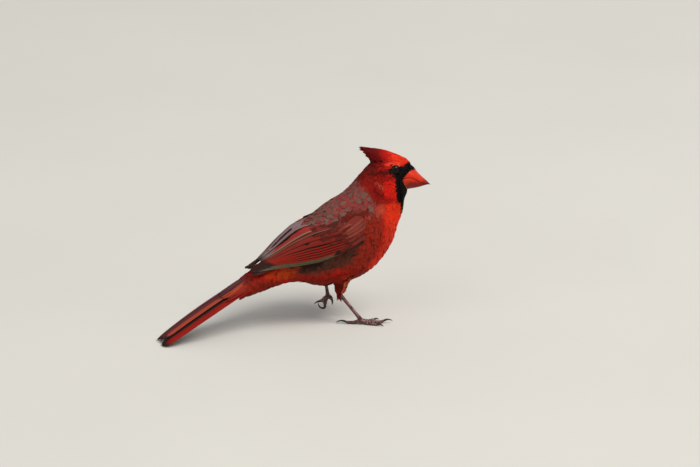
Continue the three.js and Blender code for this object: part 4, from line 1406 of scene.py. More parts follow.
def long_feather(rows, tip_length, tip_bluntness, notches):
    """A plate one unit wide and long. A tip rounds off both vanes towards the shaft."""
    bm = bmesh.new()
    bmesh.ops.create_grid(bm, x_segments=len(COLUMNS) - 1, y_segments=rows, size=0.5)
    for vert in bm.verts:
        column = round((vert.co.x + 0.5) * (len(COLUMNS) - 1))
        along = (vert.co.y + 0.5) ** ROW_CROWDING
        across = COLUMNS[column]
        towards_tip = max(0.0, (along - 1 + tip_length) / tip_length)
        closing = 1 - (1 - towards_tip**tip_bluntness) ** 0.5
        place = blend(across, SHAFT_AT, TIP_CLOSING * closing)
        place = blend(SHAFT_AT, place, blend(ROOT_WIDTH, 1.0, min(1.0, along * WIDENING)))
        if column in (0, len(COLUMNS) - 1) and round(along * rows) in notches:
            place = blend(place, SHAFT_AT, NOTCH_DEPTH)
        rise = SHAFT_RISE if across == SHAFT_AT else 0.0
        vert.co = (place, along, rise - TILT * place)
    bmesh.ops.solidify(bm, geom=bm.faces[:], thickness=FEATHER_THICKNESS)
    places = {vert: (vert.co.x, vert.co.y) for vert in bm.verts}
    return Template(bm, places)


FLIGHT_FEATHER = long_feather(rows=16, tip_length=0.16, tip_bluntness=2.0, notches=())
COVERT_FEATHER = long_feather(rows=9, tip_length=0.42, tip_bluntness=2.4, notches=(7,))
print("flight feather:", len(FLIGHT_FEATHER.faces), "triangles, covert:", len(COVERT_FEATHER.faces))

# %% [markdown]
# The long feathers' colours lie in bands along the vane: a margin, whose width is written on
# each feather, and a dark field inside it. The barbs slant from the shaft in fine ripples, and
# long faint streaks run with the vane.

# %% Material of long feathers
LONG_BARBS, LONG_BARB_SLANT = 150.0, 60.0
STREAKS_ACROSS, STREAKS_ALONG, STREAKS_PER_LUCK = 26.0, 3.0, 40
LONG_TONES = (0.9, 1.1)
STRIP_WIDTH, STRIP_LENGTH = 0.92, 0.98


def long_feather_material(name, roughness, lines):
    """Lines is how dark the margin's painted shadow line and the shaft are."""
    tree = Tree(name)
    across, along = vane_place(tree)
    from_shaft = (across - SHAFT_AT).math("ABSOLUTE")
    ripple = ((along * LONG_BARBS - from_shaft * LONG_BARB_SLANT) * (2 * math.pi)).math("SINE")
    stretched = tree.node("ShaderNodeCombineXYZ", None, across * STREAKS_ACROSS, along * STREAKS_ALONG,
                          tree.attribute("luck", "Fac") * STREAKS_PER_LUCK)
    streaks = tree.node("ShaderNodeTexNoise", None, Vector=stretched, Scale=1.0, Detail=2.0)
    margin = tree.attribute("margin", "Fac")
    inside = (across + (streaks - 0.5) * 0.06 - margin).ramp(-0.03, 0.05)
    at_tip = (along + (streaks - 0.5) * 0.03).ramp(0.93, 0.985)
    color = tree.mix(tree.attribute("fringe"), tree.attribute("middle"), inside)
    color = tree.mix(color, tree.attribute("tip"), at_tip)
    # A thin painted shadow line along each feather's outer margin, where it overlaps the next.
    rim = 1 - (1 - across.ramp(0.0, 0.03)) * lines
    shaft = 1 - (1 - from_shaft.ramp(0.0, 0.015)) * lines * 0.4
    root_shade = along.ramp(-0.3, 0.35) * 0.4 + 0.6
    light = rim * shaft * root_shade * tree.attribute("tone", "Fac") * (streaks * 0.7 + 0.65)
    color = tree.times(color, light * (ripple * 0.05 + 1.0))
    normal = tree.bump(ripple + streaks * 2.0, BARB_RELIEF, 0.5)
    return tree.shade(Base_Color=color, Roughness=roughness, Normal=normal, Specular_IOR_Level=0.16)


flight_finish = long_feather_material("flight_feathers", 0.55, 0.6)
covert_finish = long_feather_material("covert_feathers", 0.6, 0.12)


def vane_look(middle, fringe, tip, margin):
    """The colours of a long feather, and how wide its margin is."""
    return dict(middle=seen(*middle), fringe=seen(*fringe), tip=seen(*tip), margin=margin)


def add_long_feathers(name, template, shafts, looks, material, softness, rng):
    """Each of these feathers has a strip of the map. Looks has one look for each feather."""
    count = len(looks)
    values = {key: np.array([look[key] for look in looks]) for key in looks[0]}
    values["tone"] = rng.uniform(*LONG_TONES, count)
    values["luck"] = rng.random(count)
    low = np.stack([np.arange(count) / count, np.zeros(count)], axis=1)
    patches = (low, np.array([STRIP_WIDTH / count, STRIP_LENGTH]))
    return add_feathers(name, template, shafts, values, patches, material, softness)


print("materials of long feathers:", flight_finish.name, covert_finish.name)

# %% [markdown]
# From the back down to the lower edge come three tertials, seven secondaries and the edges of
# four primaries. Their margins keep their order along the whole wing, so each has a rank: from 0
# at the topmost tertial through 1 and 2 at the two edges of the secondaries to 3 at the lower
# edge. A short table says at which angle these four lines lie at a few stations.

# %% Flight feathers
RANK_STATIONS = [-72, -60, -50, -36, -23, -10, 0, 14]
RANK_ANGLES = {
    0: [2, 8, 15, 18, 21, 24, 26, 28],
    1: [17, 26, 36, 44, 48, 52, 54, 56],
    2: [34, 49, 66, 84, 90, 88, 87, 85],
    3: [39, 60, 76, 92, 98, 92, 90, 88],
}
# The top tertial is dark purple-grey; its pale grey middle is a painted sheen.
TERTIAL_WITH_SHEEN = vane_look((128, 102, 102), (22, 16, 16), (70, 64, 56), 0.1)
RED_TERTIAL = vane_look((140, 40, 32), (116, 96, 78), (92, 76, 60), 0.15)
LAST_TERTIAL = vane_look((118, 32, 24), (108, 88, 68), (84, 70, 54), 0.09)
FIRST_SECONDARY = vane_look((22, 8, 6), (118, 26, 14), (84, 36, 26), 1.3)
SECONDARY = vane_look((16, 5, 3), (142, 26, 9), (84, 34, 22), 0.2)
PRIMARY = vane_look((13, 9, 6), (114, 100, 76), (54, 46, 32), 0.085)
FLIGHT_ROWS = [
    # looks, rank, station of root, station of tip, width, height above the pile
    (TERTIAL_WITH_SHEEN, 0.0, -6, -61.5, 7.4, 0.6),
    (RED_TERTIAL, 0.62, -8, -62.0, 7.6, 0.42),
    (LAST_TERTIAL, 0.84, -10, -61.5, 6.0, 0.32),
    (FIRST_SECONDARY, 1.14, 2, -61.5, 6.0, 0.24),
    (FIRST_SECONDARY, 1.38, 2, -61.2, 6.0, 0.18),
    *[(SECONDARY, rank, 2, tip, 5.2, 0.4 - 0.14 * rank) for rank, tip in
      zip((1.52, 1.64, 1.76, 1.88, 2.0), (-60.8, -60.0, -59.2, -58.4, -57.6))],
    *[(PRIMARY, 2 + (k + 1) / 4, 4, tip, 4.4 - 0.2 * k, -0.02 * k) for k, tip in
      enumerate((-62, -67, -70, -69))],
]
PATH_SHARES = np.linspace(0.0, 1.0, 21)
RANK_LINE_ENDS, RANK_WINDOW = (-80.0, 24.0), 15


def margin_angle(station, rank):
    """Angle of a margin of some rank, from lines drawn smoothly through the table."""
    low, high = RANK_LINE_ENDS
    beyond = RANK_WINDOW // 2
    window = np.hanning(RANK_WINDOW) / np.hanning(RANK_WINDOW).sum()
    angles = []
    for line in RANK_ANGLES.values():
        rough = np.interp(np.arange(low - beyond, high + beyond), RANK_STATIONS, line)
        smooth = np.convolve(rough, window, mode="valid")
        angles.append(np.interp(station, np.arange(low, high), smooth))
    above = min(int(rank), 2)
    return blend(angles[above], angles[above + 1], rank - above)


def lay_flight_feathers(sign):
    ranks, roots, tips, widths, lifts = np.array([row[1:] for row in FLIGHT_ROWS], dtype=float).T
    stations = blend(roots[:, None], tips[:, None], PATH_SHARES)
    angles = np.array([margin_angle(*path) for path in zip(stations, ranks)])
    return lay_on(on_grid, stations, angles, sign, WING_REACH, widths, lifts[:, None, None])


print("flight feathers on each wing:", len(FLIGHT_ROWS))

# %% [markdown]
# The coverts are shorter feathers in rows that roof the roots of the flight feathers: greater,
# median and two rows of lesser coverts, with dark primary coverts along the lower edge. Each
# row runs between two feathers, the lowest and the highest, each given by the station and
# angle of its root and of its tip.

# %% Coverts
DULL_RED = vane_look((76, 16, 6), (88, 24, 11), (84, 26, 14), 0.3)
BROWN_RED = vane_look((98, 29, 18), (114, 42, 29), (116, 48, 36), 0.3)
# Lighter and pinkish: a painted highlight on the coverts at the shoulder, where light falls from above.
SHOULDER_HIGHLIGHT_RED = vane_look((112, 38, 26), (128, 56, 44), (130, 62, 50), 0.3)
DARK_COVERT = vane_look((30, 12, 9), (60, 20, 14), (52, 20, 14), 0.12)
COVERT_ROWS = [
    # looks, count, lowest root and tip, highest root and tip, width, lift
    (DARK_COVERT, 6, ((8, 88), (-14, 93)), ((6, 82), (-9, 88)), 4.4, 0.12),
    (DULL_RED, 10, ((6, 84), (-9, 88)), ((-10, 34), (-30, 40)), 6.6, 0.2),
    (DULL_RED, 8, ((8, 80), (-2, 89)), ((-6, 32), (-21, 40)), 6.6, 0.3),
    (BROWN_RED, 7, ((9.5, 78), (0, 86)), ((-1, 32), (-14, 40)), 6.2, 0.4),
    (SHOULDER_HIGHLIGHT_RED, 7, ((10, 62), (-2, 70)), ((6, 28), (-7, 40)), 6.0, 0.45),
]
COVERT_TIP_SPREAD, COVERT_WIDTHS = 0.5, (0.95, 1.05)
ROOT_LIFT = 0.3


def lay_coverts(sign, rng):
    paths, widths, lifts, looks = [], [], [], []
    for look, count, lowest, highest, width, lift in reversed(COVERT_ROWS):
        lowest, highest = np.array(lowest, dtype=float), np.array(highest, dtype=float)
        for share in np.linspace(0.0, 1.0, count):
            root, tip = blend(lowest, highest, share)
            tip = tip + rng.normal(0.0, COVERT_TIP_SPREAD, 2)
            paths.append(blend(root, tip, PATH_SHARES[:, None]))
            widths.append(width * rng.uniform(*COVERT_WIDTHS))
            lifts.append(lift)
            looks.append(look)
    paths = np.array(paths)
    rise = np.array(lifts)[:, None, None] * blend(ROOT_LIFT, 1.0, PATH_SHARES)[None, :, None]
    shafts = lay_on(on_grid, paths[:, :, 0], paths[:, :, 1], sign, WING_REACH, np.array(widths), rise)
    return shafts, looks


for side_name, sign in SIDES.items():
    wing_rng = np.random.default_rng(SEED + 1)
    looks = [row[0] for row in FLIGHT_ROWS]
    flight = add_long_feathers(f"wing_{side_name}_flight_feathers", FLIGHT_FEATHER,
                               lay_flight_feathers(sign), looks, flight_finish,
                               0.25, wing_rng)
    shafts, looks = lay_coverts(sign, wing_rng)
    coverts = add_long_feathers(f"wing_{side_name}_covert_feathers", COVERT_FEATHER, shafts, looks,
                                covert_finish, 0.7, wing_rng)
    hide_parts(f"wing_{side_name}_secondaries", f"wing_{side_name}_primaries")
    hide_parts(f"wing_{side_name}_coverts")
    print(side_name, "wing:", len(flight.data.polygons) + len(coverts.data.polygons), "triangles")

# %% [markdown]
# Twelve feathers make the tail. When it is folded one of the middle pair lies on top, here the
# left one, and each next one peeps out from under it by a millimetre or two, so that from above
# one sees stripes. The folded tail is a shallow roof with a notch at its end, given here by a
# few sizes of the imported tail.

# %% Tail feathers
TAIL_ROOT, TAIL_TIP = -77.0, -136.0
TAIL_HEIGHTS = (32.8, 1.3)
TAIL_HALF_WIDTHS = (10.6, 9.0)
TAIL_BULGE, TAIL_ARCH, TAIL_ROOF_DROP = 1.1, 0.8, 1.6
TAIL_THICKNESSES = (2.3, 0.9)
LOBE_ROUNDING, LOBE_MIDDLE = 4.4, 0.5
TAIL_FEATHERS_FROM = -68.0
TAIL_REACH = 0.7
TAIL_TIPS = (44, 24, 22)
RED_WEB = vane_look((36, 10, 8), (158, 24, 11), (66, 28, 23), 0.13)
TAIL_FEATHERS = {
    # looks, share of the half width where the outer margin lies, width, height above the pile
    "left": [
        (vane_look((74, 28, 32), (126, 40, 32), TAIL_TIPS, 0.14), 0.93, 6.8, 0.45),
        (RED_WEB, 0.42, 5.0, -0.05), (RED_WEB, 0.965, 8.0, 0.05), (RED_WEB, 0.98, 8.0, 0.0),
        (RED_WEB, 0.99, 8.0, -0.05), (RED_WEB, 1.0, 8.0, -0.1),
    ],
    "right": [
        (vane_look((158, 52, 28), (150, 96, 66), TAIL_TIPS, 0.04), 0.24, 5.2, 0.25),
        (vane_look((28, 10, 8), (132, 30, 18), TAIL_TIPS, 0.08), 0.54, 7.0, 0.15),
        (RED_WEB, 0.66, 8.0, 0.1), (RED_WEB, 0.78, 8.0, 0.05), (RED_WEB, 0.89, 8.0, 0.0),
        (RED_WEB, 1.0, 8.0, -0.05),
    ],
}


def on_tail(station, share, sign):
    """Points on the upper side of the tail. Share runs from its middle, 0, to its edge, 1."""
    along = (station - TAIL_ROOT) / (TAIL_TIP - TAIL_ROOT)
    bow = np.sin(np.pi * np.clip(along, 0.0, 1.0))
    half_width = blend(*TAIL_HALF_WIDTHS, along) + TAIL_BULGE * bow
    ridge = blend(*TAIL_HEIGHTS, along) + TAIL_ARCH * bow
    above = blend(*TAIL_THICKNESSES, np.abs(share)) / 2
    height = ridge - TAIL_ROOF_DROP * np.abs(share) + above
    return np.stack([station, sign * half_width * share, height], axis=-1)


def lay_tail(rows, sign):
    margins, widths, heights = np.array([row[1:] for row in rows]).T
    shaft_shares = margins - SHAFT_AT * widths / TAIL_HALF_WIDTHS[1]
    tips = TAIL_TIP + LOBE_ROUNDING * ((shaft_shares - LOBE_MIDDLE) / LOBE_MIDDLE) ** 2
    stations = blend(TAIL_FEATHERS_FROM, tips[:, None], PATH_SHARES)
    shares = np.broadcast_to(margins[:, None], stations.shape)
    return lay_on(on_tail, stations, shares, sign, TAIL_REACH, widths, heights[:, None, None])


tail_rng = np.random.default_rng(SEED + 2)
for side_name, sign in SIDES.items():
    rows = TAIL_FEATHERS[side_name]
    rectrices = add_long_feathers(f"tail_{side_name}_feathers", FLIGHT_FEATHER, lay_tail(rows, sign),
                                  [row[0] for row in rows], flight_finish, 0.1,
                                  tail_rng)
    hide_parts("tail")
    print(rectrices.name, len(rectrices.data.polygons), "triangles")

# %% [markdown]
# The tail's root hides under coverts. Those above are laid like the tail feathers, but on the
# slope of the rump, which runs out on the tail.

# %% Upper tail coverts
RUMP_STATIONS = [-92, -84, -78, -72, -66, -60, -54]
RUMP_HEIGHTS = [27.2, 31.3, 35.2, 38.6, 42.1, 46.2, 50.0]
RUMP_DROPS = [1.7, 2.4, 4.0, 5.7, 6.6, 7.0, 7.0]
RUMP_HALF_WIDTH = 10.0
DARK_RUMP = vane_look((70, 28, 32), (96, 44, 44), (80, 36, 38), 0.2)
RED_RUMP = vane_look((150, 46, 24), (170, 66, 38), (176, 70, 42), 0.3)
SIDE_RUMP = vane_look((118, 24, 11), (132, 34, 18), (132, 34, 18), 0.3)
RUMP_ROWS = [
    # shares of the outer margins, station of root, station of tip
    ((0.3, 0.56, 0.8, 0.97), -68, -88),
    ((0.2, 0.46, 0.72, 0.93), -63, -81),
    ((0.3, 0.58, 0.85), -56, -75),
]
RUMP_FEATHER_WIDTH, RUMP_SPREAD, RUMP_STEPPING = 5.6, 1.2, 4
RUMP_LOOKS = {
    # for each side, up to which share feathers have which look
    "left": [(2.0, DARK_RUMP)],
    "right": [(0.25, DARK_RUMP), (0.6, RED_RUMP), (2.0, SIDE_RUMP)],
}


def on_rump(station, share, sign):
    ridge = np.interp(station, RUMP_STATIONS, RUMP_HEIGHTS)
    drop = np.interp(station, RUMP_STATIONS, RUMP_DROPS)
    height = ridge - drop * (1 - np.sqrt(1 - np.clip(np.abs(share), 0.0, 0.995) ** 2))
    return np.stack([station, sign * RUMP_HALF_WIDTH * share, height], axis=-1)


def lay_rump(sign, looks_by_share, rng):
    paths, looks = [], []
    for shares, root, tip in RUMP_ROWS:
        for share in shares:
            end = tip - RUMP_STEPPING * (1 - share) + rng.normal(0.0, RUMP_SPREAD)
            paths.append((share, root, end))
            looks.append(next(look for limit, look in looks_by_share if share < limit))
    margins, roots, tips = np.array(paths)[:, :, None].transpose(1, 0, 2)
    stations = blend(roots, tips, PATH_SHARES)
    shares = np.broadcast_to(margins, stations.shape)
    widths = np.full(len(looks), RUMP_FEATHER_WIDTH)
    return lay_on(on_rump, stations, shares, sign, TAIL_REACH, widths), looks


for side_name, sign in SIDES.items():
    shafts, looks = lay_rump(sign, RUMP_LOOKS[side_name], tail_rng)
    rump = add_long_feathers(f"rump_{side_name}_feathers", COVERT_FEATHER, shafts, looks, covert_finish,
                             0.4, tail_rng)
    print(rump.name, len(rump.data.polygons), "triangles")

# %% [markdown]
# Long narrow feathers lie over the crest and run past its rear edge. They gather in a few
# locks, which give the crest its ragged outline: the longest at the tip, others below it, and a
# short spur where the crest meets the nape. Each feather aims at the end of its lock, so the
# locks come to points.

# %% Crest
CREST_LINE = [(13, 118.6, 124.9), (17.4, 115.4, 124.5), (21.6, 112.6, 124.0), (28.4, 113.6, 122.4),
              (36.2, 113.4, 119.4), (43, 111.8, 116.4)]
LOCK_TIPS = np.array([
    (9.4, 0, 125.2), (10.0, 0, 123.7), (12.4, 0, 121.8), (15.4, 0, 119.2), (15.2, 0, 116.0)])
LOCK_ENDS = [0.3, 0.5, 0.68, 0.86]
LOCK_MIXING, LOCK_SPREAD = 0.05, 0.2
CREST_FEATHERS_FROM, CREST_FEATHERS_TO, CREST_FEATHERS_ABOVE = 13.0, 37.0, 112.0
REAR_FACING = -0.6
MOST_TURN_SINE = 0.9
CREST_WIDTHS, CREST_TIP_HEIGHTS = (0.85, 1.15), (0.6, 1.1)
CREST_TONE_SPREAD, CREST_MOST_TONE = 0.06, 0.2
CREST_REACH = (3.0, 10.5)
CREST_WIDTH = 1.5
CREST_STANDING = 0.5
CREST_OVERLAP = ([17.5, 19.0], [1.2, 0.8])
FREE_END_FROM = 19.5
CREST_BOW = 0.3
CREST_STEPS = 7
CREST_DENSITY = 0.95


def crest_share(points):
    """How far down the crest some points are: 0 along its top, 1 along its foot."""
    stations, feet, tops = np.array(CREST_LINE, dtype=float).T
    foot, top = np.interp(points[:, 0], stations, feet), np.interp(points[:, 0], stations, tops)
    return np.clip((top - points[:, 2]) / (top - foot), 0.0, 2.0)


def grow_crest(rng):
    spots, beside = scattered(skin.data, skin_points, rng)
    on_crest = crest_share(spots) < np.interp(spots[:, 0], *CREST_OVERLAP)
    on_crest &= (spots[:, 0] > CREST_FEATHERS_FROM) & (spots[:, 0] < CREST_FEATHERS_TO)
    on_crest &= (spots[:, 2] > CREST_FEATHERS_ABOVE) & (skin_normals[beside, 0] > REAR_FACING)
    spots, beside = spots[on_crest], beside[on_crest]
    chosen = choose_roots(spots, np.full(len(spots), CREST_DENSITY), rng)
    picked, start = spots[chosen], beside[chosen]
    count = len(picked)
    lock = np.searchsorted(LOCK_ENDS, crest_share(picked) + rng.normal(0.0, LOCK_MIXING, count))
    targets = LOCK_TIPS[lock] + rng.normal(0.0, LOCK_SPREAD, (count, 3))
    to_target = np.linalg.norm(targets - picked, axis=1)
    length = np.clip(to_target, *CREST_REACH)
    wanted = flattened(unit(targets - picked), skin_normals[start])
    sine = (np.cross(skin_lie[start], wanted) * skin_normals[start]).sum(axis=1)
    turn = np.arcsin(sine.clip(-MOST_TURN_SINE, MOST_TURN_SINE))
    top = CREST_STANDING * rng.uniform(*CREST_TIP_HEIGHTS, count)
    middle, _, ups = walk(picked, start, length, turn, CREST_STEPS, top)
    share = np.linspace(0.0, 1.0, CREST_STEPS + 1)[None, :, None]
    rise = CREST_BOW * np.sin(np.pi * share) * skin_normals[start][:, None]
    straight = blend(picked[:, None], targets[:, None], share) + rise
    ends_here = ((to_target < CREST_REACH[1]) & (picked[:, 0] < FREE_END_FROM))[:, None, None]
    middle = np.where(ends_here, straight, middle)
    lies = unit(np.gradient(middle, axis=1))
    ups = flattened(ups, lies)
    shafts = Shafts(middle, np.cross(lies, ups), ups, CREST_WIDTH * rng.uniform(*CREST_WIDTHS, count))
    looks = coat_looks(middle[:, -3], CREST_TONE_SPREAD, CREST_MOST_TONE, rng)
    return add_small_feathers("head_crest_feathers", POINTED_FEATHER, shafts, picked, looks,
                              small_feather_finish, 0.5)


crest_rng = np.random.default_rng(SEED + 3)
crest = grow_crest(crest_rng)
print(crest.name, len(crest.data.polygons), "triangles")

# %% [markdown]
# Short black feathers stand round the base of the bill and point forward over it. On the
# forehead they are longest and a few stick out. They hide where horn meets skin.

# %% Feathers over the bill's base
BILL_MIDDLE_HEIGHT, BILL_BASE_RADIUS = 103.0, 8.5
BASE_STATIONS = ([94.0, 98.0, 103.5, 107.5, 111.0], [40.6, 39.8, 39.4, 42.6, 45.8])
BRISTLES = 150
BRISTLE_STEPS = 3
BRISTLE_ROOT = 1.6
LOWER_LENGTH, FOREHEAD_LENGTH = 0.8, 3.4
BRISTLE_LENGTHS, BRISTLE_WIDTHS = (0.7, 1.25), (0.8, 1.15)
BRISTLE_LIFT, FOREHEAD_LIFT = 0.12, 0.7
BRISTLE_SPREAD = 0.02


def bristle_shafts(rng):
    tree = tree_of(["bill_upper", "bill_lower", "head"])
    paths, outs = [], []
    angles = np.linspace(0.0, 2 * np.pi, BRISTLES, endpoint=False)
    for angle in angles + rng.normal(0.0, BRISTLE_SPREAD, BRISTLES):
        out = Vector((0.0, math.sin(angle), math.cos(angle)))
        upwards = max(0.0, out.z)
        height = BILL_MIDDLE_HEIGHT + BILL_BASE_RADIUS * out.z
        base = float(np.interp(height, *BASE_STATIONS))
        length = blend(LOWER_LENGTH, FOREHEAD_LENGTH, upwards**4) * rng.uniform(*BRISTLE_LENGTHS)
        lift = BRISTLE_LIFT + FOREHEAD_LIFT * upwards**6 * rng.random()
        path = []
        for share in np.linspace(0.0, 1.0, BRISTLE_STEPS + 1):
            station = base - BRISTLE_ROOT + (length + BRISTLE_ROOT) * share
            centre = Vector((station, 0.0, BILL_MIDDLE_HEIGHT))
            hit = tree.ray_cast(centre + out * OUTSIDE, -out)[0] or centre
            path.append(np.array(hit) + np.array(out) * lift * (ROOT_LIFT + share))
        paths.append(path)
        outs.append(out)
    middle = np.array(paths)
    lies = unit(np.gradient(middle, axis=1))
    ups = flattened(np.array(outs)[:, None, :], lies)
    return Shafts(middle, np.cross(lies, ups), ups, rng.uniform(*BRISTLE_WIDTHS, BRISTLES))


shafts = bristle_shafts(crest_rng)
black = np.tile(PATCHES["mask"]["middle"], (BRISTLES, 1))
bristles = add_small_feathers("head_bill_feathers", POINTED_FEATHER, shafts, shafts.middle[:, 0],
                              dict(middle=black, fringe=black, tone=np.ones(BRISTLES)),
                              small_feather_finish, 0.3)
print(bristles.name, len(bristles.data.polygons), "triangles")

# %% [markdown]
# A bird's eye is a ball that fills its socket, and only a window between the lids shows. The
# ball is a sphere whose front bulges as the cornea does, turned so that its pole looks out. The
# iris is a very dark brown, hardly lighter than the pupil, and its surface is smooth, so that
# it looks wet. Each lid is a soft ring swept round the window, a little longer than it is high.

# %% Eyes and lids
TOUCHING = 0.0001
EYE_RINGS, EYE_SIDES = 28, 40
CORNEA_RISE = 0.06
PUPIL_REACH, IRIS_REACH = math.radians(24), math.radians(43)
LID_STEPS, LID_SIDES = 56, 10
LID_WIDTH, LID_HEIGHT, LID_OVER_EYE = 0.48, 0.27, 0.1
QUARTER_TURN = math.radians(90)
WINDOW_LENGTHENING = math.radians(4)
BARE_LID_WAY, BARE_LID_FROM = Vector((-0.7, 0.0, -0.7)), 0.1


def eye_material():
    tree = Tree("wet_eye")
    angle = tree.attribute("from_axis", "Fac")
    iris = tree.mix(seen(16, 8, 5), seen(34, 17, 10), tree.noise(2600.0, 3.0))
    color = tree.mix((0.002, 0.002, 0.002), iris, angle.ramp(PUPIL_REACH - 0.02, PUPIL_REACH + 0.02))
    color = tree.mix(color, (0.003, 0.002, 0.002), angle.ramp(IRIS_REACH - 0.05, IRIS_REACH + 0.03))
    return tree.shade(Base_Color=color, Roughness=0.04, Specular_IOR_Level=0.16)


def lid_material():
    tree = Tree("lid_skin")
    grain = tree.noise(3200.0, 3.0)
    color = tree.mix(seen(5, 4, 4), seen(16, 12, 11), grain.ramp(0.45, 0.75))
    color = tree.mix(color, seen(200, 130, 120), tree.attribute("bare", "Fac"))
    normal = tree.bump(grain, 0.00008, 0.7)
    return tree.shade(Base_Color=color, Roughness=0.55, Normal=normal, Specular_IOR_Level=0.1)


def facing(axis, centre):
    """The turn and shift that take a shape made round the z axis to the eye."""
    turn = Vector(axis).to_track_quat("Z", "X").to_matrix().to_4x4()
    return Matrix.Translation(Vector(centre)) @ turn


def finish_piece(name, bm, material):
    """Makes a piece of a bmesh that is in straight coordinates."""
    bmesh.ops.remove_doubles(bm, verts=bm.verts, dist=TOUCHING)
    bmesh.ops.recalc_face_normals(bm, faces=bm.faces)
    mesh = bpy.data.meshes.new(name)
    bm.to_mesh(mesh)
    bm.free()
    write_points(mesh, bend(points_of(mesh)))
    shade_smoothly(mesh)
    return add_piece(name, mesh, material)


def make_eye(side_name, sign, material):
    bm = bmesh.new()
    bmesh.ops.create_uvsphere(bm, u_segments=EYE_SIDES, v_segments=EYE_RINGS, radius=EYE_RADIUS)
    layer = bm.verts.layers.float.new("from_axis")
    for vert in bm.verts:
        angle = math.acos(max(-1.0, min(1.0, vert.co.z / EYE_RADIUS)))
        vert[layer] = angle
        vert.co *= 1 + CORNEA_RISE * math.exp(-((angle / IRIS_REACH) ** 4))
    place = facing(mirrored(EYE_AXIS, sign), mirrored(EYE_CENTRE, sign))
    bmesh.ops.transform(bm, matrix=place, verts=bm.verts)
    eye = finish_piece(f"eyeball_{side_name}", bm, material)
    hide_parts(f"eye_{side_name}")
    return eye


def edges_at(points):
    return list({edge for point in points for edge in point.link_edges})


def bridge(bm, rings):
    """Joins each ring of edges to the next."""
    for ring, following in zip(rings, rings[1:]):
        bmesh.ops.bridge_loops(bm, edges=ring + following)


def make_lid(side_name, sign, material):
    """A ring of soft skin: a flattened circle carried round the window and joined up."""
    bm = bmesh.new()
    bare = bm.verts.layers.float.new("bare")
    rings = []
    for step in range(LID_STEPS):
        turn = 2 * math.pi * step / LID_STEPS
        opening = LID_OPENING + WINDOW_LENGTHENING * math.cos(2 * turn)
        ring = bmesh.ops.create_circle(bm, segments=LID_SIDES, radius=1.0)["verts"]
        bmesh.ops.scale(bm, vec=(LID_HEIGHT, LID_WIDTH, 1.0), verts=ring)
        place = (Matrix.Rotation(turn, 4, "Z") @ Matrix.Rotation(opening, 4, "Y")
                 @ Matrix.Translation((0, 0, EYE_RADIUS + LID_OVER_EYE))
                 @ Matrix.Rotation(QUARTER_TURN, 4, "X") @ Matrix.Rotation(QUARTER_TURN, 4, "Z"))
        bmesh.ops.transform(bm, matrix=place, verts=ring)
        rings.append(edges_at(ring))
    bridge(bm, rings + rings[:1])
    axis, centre = Vector(mirrored(EYE_AXIS, sign)), Vector(mirrored(EYE_CENTRE, sign))
    bmesh.ops.transform(bm, matrix=facing(axis, centre), verts=bm.verts)
    for vert in bm.verts:
        off = vert.co - centre
        from_axis = off.cross(axis).length
        outer = from_axis > EYE_RADIUS * math.sin(LID_OPENING) + BARE_LID_FROM
        vert[bare] = outer * max(0.0, off.dot(BARE_LID_WAY) / from_axis) ** 4
    return finish_piece(f"lids_{side_name}", bm, material)


eye_finish, lid_finish = eye_material(), lid_material()
for side_name, sign in SIDES.items():
    eye = make_eye(side_name, sign, eye_finish)
    lids = make_lid(side_name, sign, lid_finish)
    print(eye.name, len(eye.data.polygons), "faces,", lids.name, len(lids.data.polygons), "faces")

# %% [markdown]
# The bill is two horny cones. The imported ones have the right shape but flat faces, so copies
# of them are joined to quads, creased along the cutting edge and rounded by subdivision. Horn
# grows forward in faint curved ridges. It is coral, redder below, and dark at the tip.

# %% Bill
BILL_TIP = Vector((59.0, 0.0, 97.4))
BILL_CREASE_ANGLE, BILL_CREASE = math.radians(50), 0.9
BILL_BOTTOM, BILL_HEIGHT = 94.0, 16.0
FLATNESS, SQUARENESS = 0.6, 1.2
RIDGES_PER_MM, RIDGE_WAVERING = 2.1, 1.6


def bill_material():
    tree = Tree("bill_horn")
    from_tip = tree.attribute("from_tip", "Fac")
    height = tree.attribute("height", "Fac")
    cloud = tree.noise(420.0, 4.0)
    ridges = ((from_tip * RIDGES_PER_MM + cloud * RIDGE_WAVERING) * (2 * math.pi)).math("SINE")
    upper = (height + cloud * 0.3 - 0.15).ramp(0.3, 0.62)
    color = tree.mix(seen(120, 14, 3), seen(200, 42, 7), upper)
    below = 1 - height.ramp(0.35, 0.6)
    # A pale painted highlight on the lower mandible near its base.
    base_highlight = (from_tip + cloud * 4.0).ramp(17.0, 22.0) * below * 0.3
    color = tree.mix(color, seen(190, 84, 52), base_highlight)
    color = tree.mix(seen(24, 14, 11), color, (from_tip + cloud * 0.8).ramp(1.0, 2.4))
    color = tree.mix(color, seen(120, 24, 10), (ridges * 0.5 + 0.5) * 0.1)
    normal = tree.bump(ridges * 0.3 + cloud, 0.0001, 0.35)
    return tree.shade(Base_Color=color, Roughness=0.36, Normal=normal, Specular_IOR_Level=0.2)


bill_finish = bill_material()
for name in ("bill_upper", "bill_lower"):
    bm = straight_copy(name)
    bmesh.ops.join_triangles(bm, faces=bm.faces, angle_face_threshold=FLATNESS,
                             angle_shape_threshold=SQUARENESS)
    crease = bm.edges.layers.float.new("crease_edge")
    for edge in bm.edges:
        edge[crease] = BILL_CREASE if edge.calc_face_angle(0.0) > BILL_CREASE_ANGLE else 0.0
    tip_layer = bm.verts.layers.float.new("from_tip")
    height_layer = bm.verts.layers.float.new("height")
    for vert in bm.verts:
        vert[tip_layer] = (vert.co - BILL_TIP).length
        vert[height_layer] = max(0.0, min(1.0, (vert.co.z - BILL_BOTTOM) / BILL_HEIGHT))
    mandible = finish_piece(f"{name}_horn", bm, bill_finish)
    rounding = mandible.modifiers.new("rounding", "SUBSURF")
    rounding.levels = rounding.render_levels = 2
    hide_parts(name)
    print(mandible.name, len(mandible.data.polygons), "faces before rounding")

